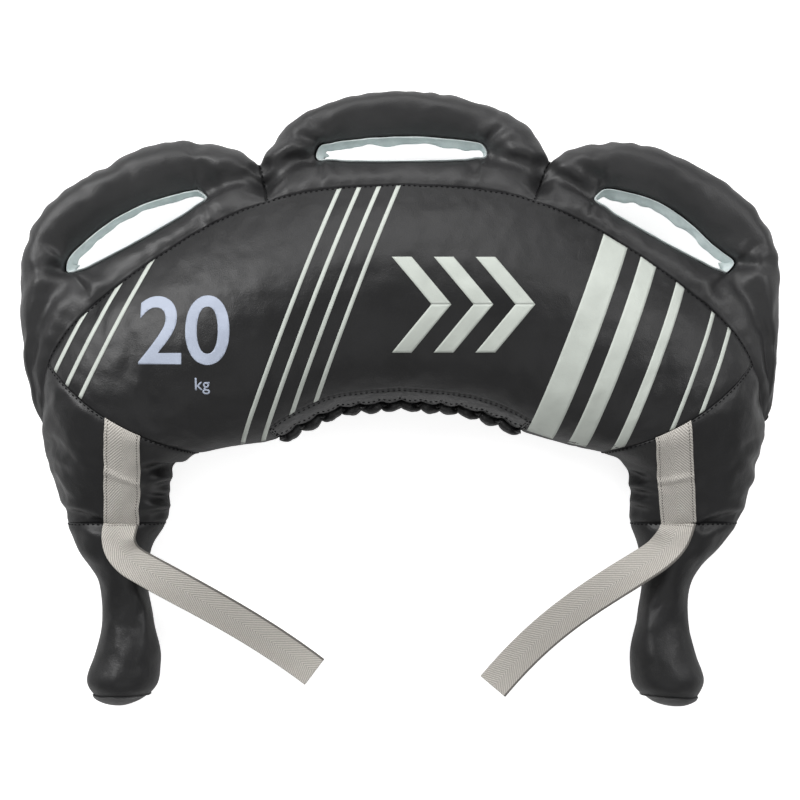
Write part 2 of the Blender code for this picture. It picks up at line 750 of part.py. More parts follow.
def tail_line(sign, turn, end_turn):
    """Return the middle points, half widths and ways up of a free tail, which bends inward and falls."""
    place = strap_root(sign) - np.array([0.0, SEAM_GAP / 2, STRAP_THICKNESS])
    root_height = place[2]
    step = TAIL_LENGTH / TAIL_STEPS
    middles, acrosses, ups = [], [], []
    for k in range(TAIL_STEPS + 1):
        at = step * k
        straightened = ease((at - TAIL_BEND_LENGTH) / (TAIL_LENGTH - TAIL_BEND_LENGTH))
        heading = turn * ease(at / TAIL_BEND_LENGTH) - (turn - end_turn) * straightened
        way = np.array([-sign * math.sin(heading), -math.cos(heading), 0.0])
        if k > 0:
            place = place + way * step
        drop = ease((at - TAIL_FLAT_LEAD) / (TAIL_LENGTH - TAIL_FLAT_LEAD)) ** TAIL_DROP_POWER
        middles.append(np.array([place[0], place[1], mix(root_height, TAIL_END_HEIGHT, drop)]))
        acrosses.append(np.array([-way[1], way[0], 0.0]) * STRAP_WIDTH / 2)
        ups.append(np.array([0.0, 0.0, 1.0]))
    return middles, acrosses, ups


def free_tail(sign, turn, end_turn):
    """Return a strap's free tail: it leaves the root, bends over the grip and falls to the floor."""
    middles, acrosses, ups = tail_line(sign, turn, end_turn)
    return ribbon(middles, acrosses, ups, STRAP_THICKNESS)


def neck_hem():
    """Return the gathered hem, a wavy strip along the middle of the neck edge."""
    count = HEM_FOLDS * HEM_STEPS_PER_FOLD
    end = NECK_END_SHARE * HEM_SPAN_SHARE
    layers = ([], [])
    for k in range(count + 1):
        station = mix(-end, end, k / count)
        inner, outer = cross_line(abs(station))
        away = (inner - outer) / np.linalg.norm(inner - outer)
        away = np.array([away[0] * (1.0 if station > 0 else -1.0), away[1], 0.0])
        edge = np.array([math.copysign(inner[0], station), inner[1], neck_height(abs(station))])
        for reach in (SEAM_GAP, HEM_WIDTH):
            wave = HEM_WAVE * reach / HEM_WIDTH * math.sin(2 * math.pi * k / HEM_STEPS_PER_FOLD)
            point = edge + away * reach + np.array([0.0, 0.0, wave])
            layers[0].append(point - np.array([0.0, 0.0, FABRIC / 2]))
            layers[1].append(point + np.array([0.0, 0.0, FABRIC / 2]))
    return np.array(layers[0] + layers[1]), ribbon_faces(count + 1, 2)


# Objects

def make_material(name, colour, roughness):
    material = bpy.data.materials.new(name)
    material.use_nodes = True
    shader = material.node_tree.nodes["Principled BSDF"]
    shader.inputs["Base Color"].default_value = colour
    shader.inputs["Roughness"].default_value = roughness
    shader.inputs["Metallic"].default_value = 0.0
    material.diffuse_color = colour
    return material


def make_object(name, points, faces, colour, roughness, parent, origin=None):
    """Make one named object with its own material, its origin at its middle or at its joint."""
    points = np.array(points)
    if origin is None:
        origin = (points.min(axis=0) + points.max(axis=0)) / 2
    mesh = bpy.data.meshes.new(name)
    mesh.from_pydata([tuple(point) for point in points - origin], [], faces)
    shape = bmesh.new()
    shape.from_mesh(mesh)
    bmesh.ops.recalc_face_normals(shape, faces=shape.faces)
    shape.to_mesh(mesh)
    shape.free()
    mesh.shade_smooth()
    mesh.materials.append(make_material(name, colour, roughness))
    item = bpy.data.objects.new(name, mesh)
    item.location = tuple(origin)
    bpy.context.scene.collection.objects.link(item)
    item.parent = parent
    return item


def make_empty(name, place):
    empty = bpy.data.objects.new(name, None)
    empty.location = tuple(place)
    bpy.context.scene.collection.objects.link(empty)
    return empty


def make_panels(cover, bag):
    """Make every panel of the cover."""
    for name in sorted({cell[1] for cell in cover.cells}):
        if name.startswith("slot_lining"):
            make_object(name, *panel_solid(cover, name, LINING), PALE_LINING, 0.8, bag)
        elif name.startswith("grip"):
            make_object(name, *panel_solid(cover, name, FABRIC), BLACK_GRIP, 0.5, bag)
        else:
            make_object(name, *panel_solid(cover, name, FABRIC), BLACK, 0.45, bag)


def make_fillings(cover, bag):
    """Make the three sacks, the fillings of the grips and the handles' padding."""
    depth = FABRIC + SEAM_GAP
    spans = {
        "filling_sack_left": (-1.0, -VALLEY_SHARE),
        "filling_sack_centre": (-VALLEY_SHARE, VALLEY_SHARE),
        "filling_sack_right": (VALLEY_SHARE, 1.0),
    }
    tails = {
        "filling_sack_left": (-TAIL_END_SHARE, -PADDING_END_SHARE),
        "filling_sack_centre": (0.0, 0.0),
        "filling_sack_right": (PADDING_END_SHARE, TAIL_END_SHARE),
    }
    for name, ends in spans.items():
        front = cover.span("front", *ends) + cover.span("front", *tails[name], handles=True)
        back = cover.span("back", *ends) + cover.span("back", *tails[name], handles=True)
        make_object(name, *filling_solid(cover, front, back, [], depth), SACK_TAN, 0.9, bag)
    for side, ends in (("left", (-2.0, -1.0)), ("right", (1.0, 2.0))):
        front, back = cover.span("front", *ends), cover.span("back", *ends)
        end_cells = cover.panel("grip_end_" + side)
        solid = filling_solid(cover, front, back, end_cells, depth)
        make_object("grip_filling_" + side, *solid, SACK_TAN, 0.9, bag)
    pads = {
        "left": (-PADDING_END_SHARE, -VALLEY_SHARE),
        "centre": (-VALLEY_SHARE, VALLEY_SHARE),
        "right": (VALLEY_SHARE, PADDING_END_SHARE),
    }
    for name, ends in pads.items():
        front = cover.span("front", *ends, handles=True)
        back = cover.span("back", *ends, handles=True)
        solid = filling_solid(cover, front, back, [], depth)
        make_object("handle_padding_" + name, *solid, FOAM_GREY, 0.9, bag)


def make_straps(bag):
    """Make the sewn straps, and each free tail under an empty on its root line."""
    turns = {
        "left": (LEFT_TAIL_ANGLE, LEFT_TAIL_END_ANGLE),
        "right": (RIGHT_TAIL_ANGLE, RIGHT_TAIL_END_ANGLE),
    }
    for side, sign in SIDES.items():
        make_object("sewn_strap_" + side, *sewn_strap(sign), WEBBING_GREY, 0.85, bag)
        root = strap_root(sign)
        make_object("strap_tail_" + side, *free_tail(sign, *turns[side]), WEBBING_GREY, 0.85, bag, root)


def clear_scene():
    for item in list(bpy.data.objects):
        bpy.data.objects.remove(item)


def main():
    clear_scene()
    bag = make_empty("bag", (0.0, 0.0, 0.0))
    cover = Cover(build_net())
    print("open edges of the cover:", cover.open_edges)
    make_panels(cover, bag)
    make_fillings(cover, bag)
    make_straps(bag)
    make_object("neck_hem", *neck_hem(), BLACK, 0.6, bag)


main()
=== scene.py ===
"""A bulgarian bag of black coated fabric, lying on its back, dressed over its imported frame.

The cover is one surface of two parameters, station and row. A station runs along the crescent, from
the middle (0) to the waist (1) and the end of the grip (2), and is negative on the left. A row runs
across it, from the neck edge to the outer seam, and on over the rim to the crest of a handle. The
surface is blown up against its pinned seams by a cloth simulation and then cut into its panels.
"""

import json
import logging
import math
from collections.abc import Callable
from dataclasses import dataclass, field
from enum import Enum

import bmesh
import bpy
import mathutils
import numpy as np
from mathutils.bvhtree import BVHTree
from numpy.typing import NDArray
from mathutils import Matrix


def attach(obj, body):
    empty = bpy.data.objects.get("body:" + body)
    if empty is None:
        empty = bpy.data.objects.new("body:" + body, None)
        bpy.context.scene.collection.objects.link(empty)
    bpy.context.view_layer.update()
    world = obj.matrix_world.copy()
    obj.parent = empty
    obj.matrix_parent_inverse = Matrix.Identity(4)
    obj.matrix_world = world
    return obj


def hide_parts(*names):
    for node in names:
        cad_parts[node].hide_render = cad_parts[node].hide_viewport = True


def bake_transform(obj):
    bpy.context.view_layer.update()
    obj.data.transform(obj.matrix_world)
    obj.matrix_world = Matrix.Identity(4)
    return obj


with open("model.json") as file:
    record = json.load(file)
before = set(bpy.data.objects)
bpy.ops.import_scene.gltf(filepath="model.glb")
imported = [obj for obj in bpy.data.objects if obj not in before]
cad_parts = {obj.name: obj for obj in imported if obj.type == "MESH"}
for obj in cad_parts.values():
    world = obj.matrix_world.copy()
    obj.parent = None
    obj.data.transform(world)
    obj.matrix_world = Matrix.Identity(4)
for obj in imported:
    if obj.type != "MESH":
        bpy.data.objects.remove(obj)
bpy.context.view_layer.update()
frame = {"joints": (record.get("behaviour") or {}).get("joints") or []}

log = logging.getLogger("bag")
Array = NDArray[np.float64]
Numbers = NDArray[np.int64]
Flags = NDArray[np.bool_]
Pair = tuple[float, float]
Colour = tuple[float, float, float, float]
Item = bpy.types.Object
Socket = bpy.types.NodeSocket

MM = 0.001
FLOOR_GAP = 0.0004


# Small tools

def mix(a: Array, b: Array, share: Array) -> Array:
    """Return the way from a to b at a share."""
    return a + (b - a) * share


def ease(x: Array) -> Array:
    """Return a smooth step: 3x^2 - 2x^3 between 0 and 1, flat outside."""
    x = np.clip(x, 0.0, 1.0)
    return x * x * (3.0 - 2.0 * x)


def hill(x: Array, reach: float) -> Array:
    """Return a bell that is 1 at zero and falls off with the square of x over its reach."""
    return np.exp(-((x / reach) ** 2))


def unit(vectors: Array) -> Array:
    """Return the vectors scaled to length one along the last axis."""
    length = np.linalg.norm(vectors, axis=-1, keepdims=True)
    return vectors / np.maximum(length, 1e-12)


def reach_along(line: Array) -> Array:
    """Return how far along a line each of its points lies."""
    return np.concatenate([[0.0], np.cumsum(np.linalg.norm(np.diff(line, axis=0), axis=1))])


def points_at(line: Array, reach: Array, at: Array) -> Array:
    """Return a line's points at distances along it, with the coordinates last."""
    return np.stack([np.interp(at, reach, column) for column in line.T], axis=-1)


def value_along(pairs: list[Pair], at: Array) -> Array:
    """Return a smooth value at each place, from (place, value) pairs.

    Args:
        pairs: places in rising order, with their values.
        at: the places to read.

    Returns:
        The values, read from a spline through the pairs.
    """
    curve = PlanCurve(pairs)
    return np.interp(at, curve.points[:, 0], curve.points[:, 1])


class PlanCurve:
    """A smooth curve through points in the plan, read by its arc length."""

    def __init__(self, points: list[Pair], steps: int = 24) -> None:
        """Lay a Catmull-Rom spline through the points: each span is a cubic with centred slopes."""
        knots = np.array(points, float)
        ends = np.vstack([2 * knots[0] - knots[1], knots, 2 * knots[-1] - knots[-2]])
        t = np.linspace(0.0, 1.0, steps, endpoint=False)[None, :, None]
        before, start = ends[:-3, None], ends[1:-2, None]
        end, after = ends[2:-1, None], ends[3:, None]
        bend = 2 * before - 5 * start + 4 * end - after
        twist = 3 * start - before - 3 * end + after
        dense = 0.5 * (2 * start + (end - before) * t + bend * t**2 + twist * t**3)
        self.points = np.vstack([dense.reshape(-1, knots.shape[1]), knots[-1:]])
        self.reach = reach_along(self.points)
        self.length = float(self.reach[-1])

    def at(self, share: Array) -> Array:
        """Return the points at shares of the curve's length, with the coordinates last."""
        return points_at(self.points, self.reach, np.clip(share, 0.0, 1.0) * self.length)


def grid_faces(rows: int, columns: int, first: int = 0) -> Numbers:
    """Return the quads of a grid of points numbered row by row from first."""
    corner = first + np.arange(rows - 1)[:, None] * columns + np.arange(columns - 1)[None, :]
    quads = np.stack([corner, corner + 1, corner + columns + 1, corner + columns], axis=-1)
    return quads.reshape(-1, 4)


def ripples(points: Array, seed: int, size: float, octaves: int = 3) -> Array:
    """Return a smooth uneven value about zero at each point, the same at every run.

    Each octave is a product of three sine waves with seeded directions, at half the size and half
    the strength of the one before.
    """
    chance = np.random.default_rng(seed)
    total = np.zeros(points.shape[:-1])
    for octave in range(octaves):
        for _ in range(3):
            way = unit(chance.normal(size=3)) * (2 * math.pi * 2**octave / size)
            turn = chance.uniform(0.0, 2 * math.pi, 2)
            side = np.cross(way, unit(chance.normal(size=3)))
            total += np.sin(points @ way + turn[0]) * np.cos(points @ side + turn[1]) / 2**octave
    return total / 3.0


# Tools for pieces and their meshes

def read_points(mesh: bpy.types.Mesh) -> Array:
    """Return a mesh's vertices as an array."""
    points = np.zeros(len(mesh.vertices) * 3)
    mesh.vertices.foreach_get("co", points)
    return points.reshape(-1, 3)


def vertex_normals(mesh: bpy.types.Mesh) -> Array:
    """Return a mesh's vertex normals as an array."""
    normals = np.zeros(len(mesh.vertices) * 3)
    mesh.vertex_normals.foreach_get("vector", normals)
    return normals.reshape(-1, 3)


def linked(name: str, data: bpy.types.ID) -> Item:
    """Return a new object of the scene that shows the data."""
    item = bpy.data.objects.new(name, data)
    bpy.context.scene.collection.objects.link(item)
    return item


def new_object(name: str, points: Array, faces: Array | list) -> Item:
    """Return a new smooth object with its place in its mesh."""
    mesh = bpy.data.meshes.new(name)
    rows = faces.tolist() if isinstance(faces, np.ndarray) else faces
    mesh.from_pydata(points.tolist(), [], rows)
    mesh.shade_smooth()
    return linked(name, mesh)


def solved(item: Item) -> bpy.types.Mesh:
    """Return an object's mesh with its modifiers worked out."""
    return item.evaluated_get(bpy.context.evaluated_depsgraph_get()).data


def set_values(thing: object, **values: object) -> object:
    """Set some of a thing's own values by name, and return it."""
    for key, value in values.items():
        setattr(thing, key, value)
    return thing


def modify(item: Item, name: str, kind: str, **values: object) -> None:
    """Give a piece a modifier, with its values set."""
    set_values(item.modifiers.new(name, kind), **values)


def reshape(item: Item, change: Callable[[bmesh.types.BMesh], object]) -> None:
    """Change a piece's mesh, and shade it smooth."""
    shape = bmesh.new()
    shape.from_mesh(item.data)
    change(shape)
    shape.to_mesh(item.data)
    shape.free()
    item.data.shade_smooth()


def turn_up(shape: bmesh.types.BMesh) -> None:
    """Turn every face that looks down."""
    for face in shape.faces:
        if face.normal.z < 0.0:
            face.normal_flip()


# The shape of the filled bag

@dataclass
class Crescent:
    """The plan outlines and the heights of the filled bag, in metres. The right half is drawn."""

    half_width: float = 0.341
    half_height: float = 0.278
    crown: float = 0.135
    neck_edge_height: float = 0.058
    front_seam_height: float = 0.095
    back_seam_height: float = 0.014
    crest_height: float = 0.050
    tail_height: float = 0.046
    handle_top: float = 0.088
    handle_bottom: float = 0.018
    back_corner: float = 0.045
    band_width: float = 0.0115
    slot_width: float = 0.021
    slot_arch: float = 0.0035
    slot_end_power: float = 3.2
    slot_taper: float = 0.26
    middle_slot_length: float = 0.147
    side_slot_length: float = 0.138
    side_slot_angle: float = math.radians(-28.5)
    slot_edge_dip: float = 0.016
    inner_edge_dip: float = 0.35
    slot_dip_reach: float = 0.018
    trough: float = 0.011
    trough_reach: float = 0.20
    trough_start: float = 0.2
    slit_reach: float = 0.08
    slit_blend: float = 0.035
    crest_roundness: float = 2.6
    valley_dip: float = 0.013
    valley_reach: float = 0.012
    waist_width: float = 0.092
    grip_width: float = 0.049
    bulb_width: float = 0.067
    grip_end_width: float = 0.051
    panel_bow: float = 0.013
    valley: float = 0.232
    panel_end: float = 0.708
    tail_end: float = 0.828
    padding_end: float = 0.70
    neck_end: float = 0.43
    side_slot: float = 0.45
    slot_spread: float = 0.93
    slit: float = 0.42

    def __post_init__(self) -> None:
        """Lay the outlines through their points, given as shares of the half width and height."""
        self.waist = self.sized([(0.745, -0.396)])[0]
        waist_outer = (self.waist[0] + self.waist_width / 2, self.waist[1])
        waist_inner = (self.waist[0] - self.waist_width / 2, self.waist[1])
        self.seam = PlanCurve(self.sized([
            (0.0, 0.683), (0.176, 0.671), (0.323, 0.637), (0.484, 0.558), (0.636, 0.446), (0.768, 0.324),
            (0.868, 0.209), (0.921, 0.101), (0.944, -0.029), (0.956, -0.115), (0.930, -0.252),
        ]) + [waist_outer])
        self.neck = PlanCurve(self.sized([
            (0.0, -0.011), (0.106, -0.022), (0.176, -0.036), (0.264, -0.079), (0.328, -0.119),
            (0.434, -0.147), (0.540, -0.176), (0.587, -0.205), (0.603, -0.270),
        ]) + [waist_inner])
        self.middle_crest = PlanCurve(self.sized([
            (0.0, 1.0), (0.132, 0.986), (0.252, 0.924), (0.331, 0.827), (0.370, 0.759),
        ]))
        tail = tuple(self.seam.at(np.array(self.tail_end)))
        self.side_crest = PlanCurve(self.sized([
            (0.370, 0.759), (0.440, 0.813), (0.607, 0.838), (0.765, 0.770), (0.924, 0.640),
            (0.991, 0.496), (1.0, 0.342), (0.991, 0.144), (0.974, 0.0),
        ]) + [tail])
        self.grip_line = PlanCurve([self.waist] + self.sized([
            (0.736, -0.486), (0.713, -0.594), (0.699, -0.719), (0.699, -0.820), (0.713, -0.900),
            (0.717, -0.960),
        ]))
        middle_centre, side_centre = self.sized([(0.0, 0.797), (0.692, 0.541)])
        self.slots = (
            (0.0, self.middle_slot_length, middle_centre, 0.0),
            (self.side_slot, self.side_slot_length, side_centre, self.side_slot_angle),
        )

    def sized(self, shares: list[Pair]) -> list[Pair]:
        """Return outline shares as points in metres."""
        return [(x * self.half_width, y * self.half_height) for x, y in shares]

    def width_of_grip(self, share: Array) -> Array:
        """Return the grip's width at shares of its length from the waist."""
        widths = [
            (0.0, self.waist_width), (0.16, mix(self.grip_width, self.waist_width, 0.47)),
            (0.36, self.grip_width), (0.57, self.grip_width),
            (0.74, mix(self.grip_width, self.bulb_width, 0.52)), (0.90, self.bulb_width),
            (0.96, mix(self.grip_end_width, self.bulb_width, 0.72)), (1.0, self.grip_end_width),
        ]
        return value_along(widths, share)

    def grip_radius(self, place: Array) -> Array:
        """Return the grip's radius at places past the waist, at most the bulb's."""
        width = self.width_of_grip(np.clip(place - 1.0, 0.0, 1.0))
        return np.minimum(width, self.bulb_width) / 2

    def cross_line(self, place: Array) -> tuple[Array, Array]:
        """Return the neck ends and the outer ends of the station lines at places from 0 to 2."""
        share = np.clip(place - 1.0, 0.0, 1.0)
        middle = self.grip_line.at(share)
        half = np.stack([self.width_of_grip(share) / 2, np.zeros_like(share)], axis=-1)
        body = (place <= 1.0)[..., None]
        inner = np.where(body, self.neck.at(place), middle - half)
        outer = np.where(body, self.seam.at(place), middle + half)
        return inner, outer

    def crest(self, place: Array) -> Array:
        """Return the handles' crest in plan."""
        middle = self.middle_crest.at(place / self.valley)
        side = self.side_crest.at((place - self.valley) / (self.tail_end - self.valley))
        return np.where((place <= self.valley)[..., None], middle, side)

    def plan_point(self, place: Array, share: Array) -> Array:
        """Return plan points at shares of station lines, which bow near the end panels."""
        inner, outer = self.cross_line(place)
        bow = self.panel_bow * ease(place / self.panel_end) * ease((1.0 - place) / (1.0 - self.panel_end))
        along = unit(outer - inner)
        across = np.stack([along[..., 1], -along[..., 0]], axis=-1)
        return mix(inner, outer, share[..., None]) + across * (bow * 4.0 * share * (1.0 - share))[..., None]

    def crown_height(self, place: Array) -> Array:
        """Return the height of the front's crown."""
        pairs = [(0.0, 1.0), (0.3, 0.995), (0.5, 0.965), (0.708, 0.87), (0.86, 0.68)]
        sized = [(at, v * self.crown) for at, v in pairs] + [(1.0, self.bulb_width)]
        grip = self.bulb_width / 2 + self.grip_radius(place)
        return np.where(place <= 1.0, value_along(sized, place), grip)

    def floor_height(self, place: Array) -> Array:
        """Return the height of the back: the floor under the body, and the grip's own round past it."""
        return np.where(place <= 1.0, 0.0, self.bulb_width / 2 - self.grip_radius(place))

    def seam_height(self, place: Array, pairs: list[Pair], height: float) -> Array:
        """Return a seam's height, from (station, share) pairs, and on to the tail and the grip's axis."""
        body = value_along([(at, v * height) for at, v in pairs] + [(self.tail_end, self.tail_height)], place)
        way = ease((place - self.tail_end) / (1.0 - self.tail_end))
        return np.where(place < self.tail_end, body, mix(self.tail_height, self.bulb_width / 2, way))

    def front_seam(self, place: Array) -> Array:
        """Return the height of the seam between the front panel and the rim."""
        pairs = [(0.0, 1.0), (0.5, 0.98), (0.63, 0.93), (0.73, 0.78)]
        return self.seam_height(place, pairs, self.front_seam_height)

    def back_seam(self, place: Array) -> Array:
        """Return the height of the seam between the back panel and the rim."""
        pairs = [(0.0, 1.0), (0.55, 1.0), (0.68, 1.35), (0.76, 2.1)]
        return self.seam_height(place, pairs, self.back_seam_height)

    def neck_height(self, place: Array) -> Array:
        """Return the height of the neck edge."""
        pairs = [(0.0, 1.0), (0.5, 0.97), (0.75, 0.82)]
        sized = [(at, v * self.neck_edge_height) for at, v in pairs]
        return value_along(sized + [(1.0, self.bulb_width / 2)], np.minimum(place, 1.0))

    def front_height(self, place: Array, share: Array) -> Array:
        """Return the front's height: round at the neck, and a shallow slope at the outer seam."""
        base = mix(self.neck_height(place), self.front_seam(place), share)
        offset = np.abs(2.0 * share - 1.0)
        slope = mix(1.0, 0.5, ease((place - self.side_slot) / (self.tail_end - self.side_slot)))
        power = np.where(share < 0.5, 0.5, slope)
        return base + (self.crown_height(place) - base) * np.maximum(1.0 - offset * offset, 0.0) ** power

    def back_height(self, place: Array, share: Array) -> Array:
        """Return the back's height: flat on the floor, with rounded edges."""
        inner, outer = self.cross_line(place)
        length = np.linalg.norm(outer - inner, axis=-1)
        corner = np.minimum(self.back_corner, length / 2)
        base = mix(self.neck_height(place), self.back_seam(place), share)
        edge = np.maximum(1.0 - np.minimum(share, 1.0 - share) * length / corner, 0.0)
        floor = self.floor_height(place)
        return floor + (base - floor) * (1.0 - np.sqrt(np.maximum(1.0 - edge * edge, 0.0)))

    def slot_facts(self, place: Array) -> tuple[Array, Array, Array, Array]:
        """Return the way along the slot, its half length, its middle and its direction at each place."""
        middle, length, centre, angle = [np.array(facts) for facts in zip(*self.slots)]
        direction = np.array([(math.cos(turn), math.sin(turn)) for turn in angle])
        slot = np.where(place <= self.valley, 0, 1)
        offset = (place - middle[slot]) * self.seam.length / self.slot_spread
        return offset, length[slot] / 2, centre[slot], direction[slot]

    def slit_points(self, place: Array) -> tuple[Array, Array]:
        """Return the slot's lower and upper edge, or the one slit point twice past the slot's ends."""
        offset, half, middle, direction = self.slot_facts(place)
        normal = np.stack([-direction[..., 1], direction[..., 0]], axis=-1)
        centre = middle + direction * offset[..., None]
        past = np.maximum(np.abs(offset) - (half - self.slot_width / 2), 0.0) / (self.slot_width / 2)
        along = np.clip(offset / half, -1.0, 1.0)
        power = self.slot_end_power
        square = np.maximum(1.0 - past**power, 0.0) ** (1 / power)
        gap = self.slot_width / 2 * square * (1.0 - self.slot_taper * along**2)
        outer = self.cross_line(place)[1]
        way = ease((np.abs(offset) - half) / self.slit_blend)[..., None]
        closed = mix(centre, mix(outer, self.crest(place), self.slit), way)
        arch = self.slot_arch * np.cos(math.pi / 2 * along)
        is_open = (np.abs(offset) < half)[..., None]
        lower = np.where(is_open, centre - normal * gap[..., None], closed)
        upper = np.where(is_open, centre + normal * (gap + arch)[..., None], closed)
        return lower, upper

    def rim_heights(self, place: Array, reach: Array, edge: Array) -> tuple[Array, Array]:
        """Return the front and back height of a handle between its seam (0) and its crest (1).

        Args:
            place: the stations, from 0 to 1.
            reach: the share of the way from the seam to the crest.
            edge: how near the slot's edge the point lies, 1 on it.
        """
        front_seam, back_seam = self.front_seam(place), self.back_seam(place)
        ends = ease((place - self.padding_end) / (self.tail_end - self.padding_end))
        crest = mix(self.crest_height, self.tail_height, ends)
        top = mix(np.minimum(self.handle_top, front_seam), front_seam, ends)
        bottom = mix(np.maximum(self.handle_bottom, back_seam), back_seam, ends)
        rise = ease(reach / self.slit)
        cap = np.sqrt(np.maximum(1.0 - reach**self.crest_roundness, 0.0))
        offset, half = self.slot_facts(place)[:2]
        near = 1.0 - ease((np.abs(offset) - half) / self.slot_dip_reach)
        outward = ease((reach - self.slit + self.slit_reach) / (2 * self.slit_reach))
        dip = self.slot_edge_dip * edge**2 * near * mix(self.inner_edge_dip, 1.0, outward)
        crease = hill((place - self.valley) * self.seam.length, self.valley_reach)
        valley = self.valley_dip * crease * rise * cap
        trough = self.trough * hill(reach - self.slit, self.trough_reach) * (1.0 - ends)
        trough = trough * ease(reach / self.trough_start)
        front = crest + (mix(front_seam, top, rise) - crest) * cap - dip - valley - trough
        back = crest - (crest - mix(back_seam, bottom, rise)) * cap + dip + valley
        return front, back


# The cover as one net

class Panel(Enum):
    """The panels that the cover is cut into, by node name."""

    FRONT = "front_panel"
    BACK = "back_panel"
    NECK = "neck_band"
    FRONT_END_LEFT = "front_end_panel_left"
    FRONT_END_RIGHT = "front_end_panel_right"
    BACK_END_LEFT = "back_end_panel_left"
    BACK_END_RIGHT = "back_end_panel_right"
    GRIP_LEFT = "grip_sleeve_left"
    GRIP_RIGHT = "grip_sleeve_right"
    GRIP_END_LEFT = "grip_end_left"
    GRIP_END_RIGHT = "grip_end_right"
    HANDLE_FRONT_LEFT = "handle_front_left"
    HANDLE_FRONT_CENTRE = "handle_front_centre"
    HANDLE_FRONT_RIGHT = "handle_front_right"
    HANDLE_BACK_LEFT = "handle_back_left"
    HANDLE_BACK_CENTRE = "handle_back_centre"
    HANDLE_BACK_RIGHT = "handle_back_right"


PANELS = list(Panel)


@dataclass(frozen=True)
class Settling:
    """A place where the soft bag has settled a little to one side."""

    at: Pair
    reach: float
    shift: Pair

    def move(self, points: Array) -> Array:
        """Return how far plan points move: the shift times a bell round the place."""
        distance = np.linalg.norm(points[:, :2] - np.array(self.at), axis=-1)
        return hill(distance, self.reach)[:, None] * np.array(self.shift)


SETTLINGS = (
    Settling((-0.300, -0.110), 0.040, (0.0010, 0.0)),
    Settling((-0.335, -0.040), 0.030, (0.0050, 0.0)),
    Settling((0.305, -0.110), 0.045, (0.0075, 0.0)),
    Settling((0.340, -0.015), 0.035, (0.0045, 0.0)),
    Settling((0.125, 0.235), 0.045, (0.0100, 0.0030)),
    Settling((-0.080, 0.260), 0.060, (0.0, -0.0010)),
    Settling((0.175, 0.235), 0.040, (0.0, -0.0005)),
    Settling((-0.190, 0.235), 0.060, (0.0, 0.0010)),
    Settling((-0.110, -0.030), 0.045, (0.0, -0.0035)),
    Settling((0.105, -0.025), 0.040, (0.0, 0.0030)),
    Settling((0.270, -0.275), 0.020, (0.0, -0.0030)),
    Settling((0.030, 0.280), 0.060, (0.0, 0.0010)),
    Settling((0.110, 0.255), 0.030, (0.0060, 0.0020)),
    Settling((-0.105, 0.250), 0.025, (-0.0040, 0.0)),
)


@dataclass(frozen=True)
class Gape:
    """A slot's upper edge pulled open: a bell along the slot, which fades out above it."""

    at: Pair
    angle: float
    half: float
    opening: float
    fade: float = 0.045
    fade_start: float = 0.012
    lowest: float = 0.002
    highest: float = 0.07
    roundness: float = 1.2

    def move(self, points: Array) -> Array:
        """Return how far plan points move, square to the slot."""
        along = np.array([math.cos(self.angle), math.sin(self.angle)])
        up = np.array([-along[1], along[0]])
        off = points[:, :2] - np.array(self.at)
        place, above = off @ along, off @ up
        bell = np.cos(math.pi / 2 * np.clip(place / self.half, -1.0, 1.0)) ** self.roundness
        strength = bell * (1.0 - ease((above - self.fade_start) / self.fade))
        strength = strength * (above > self.lowest) * (above < self.highest)
        return (self.opening * strength)[:, None] * up


GAPES = (
    Gape((0.222, 0.158), math.radians(-28.5), 0.062, 0.0080),
    Gape((-0.240, 0.148), math.radians(28.5), 0.068, 0.0060),
)


@dataclass(frozen=True)
class Crease:
    """A fold in the cover between two places in the plan, which fades towards its end."""

    start: Pair
    end: Pair
    depth: float
    width: float
    fading: float = 0.8
    ridge_place: float = 2.0
    ridge_share: float = 0.4

    def sink(self, points: Array) -> Array:
        """Return how far points sink: deepest on the line, with a low ridge on both sides."""
        start, line = np.array(self.start), np.array(self.end) - np.array(self.start)
        off = points[:, :2] - start
        share = np.clip(off @ line / (line @ line), 0.0, 1.0)
        distance = np.linalg.norm(off - share[:, None] * line, axis=-1)
        fade = 1.0 - self.fading * ease(share)
        ridge = hill(distance - self.ridge_place * self.width, self.width)
        return self.depth * fade * (hill(distance, self.width) - self.ridge_share * ridge)


@dataclass(frozen=True)
class Pucker:
    """Small folds that spread out from one place, such as the end of a slot."""

    at: Pair
    reach: float
    folds: int
    depth: float
    swirl: float = 40.0

    def sink(self, points: Array) -> Array:
        """Return how far points sink: a wave round the place, strongest a little way off it."""
        off = points[:, :2] - np.array(self.at)
        distance = np.linalg.norm(off, axis=-1)
        turn = np.arctan2(off[:, 1], off[:, 0])
        start = ease(distance / (0.3 * self.reach))
        strength = hill(distance - 0.5 * self.reach, 0.45 * self.reach) * start
        return self.depth * strength * np.cos(self.folds * turn + self.swirl * distance)


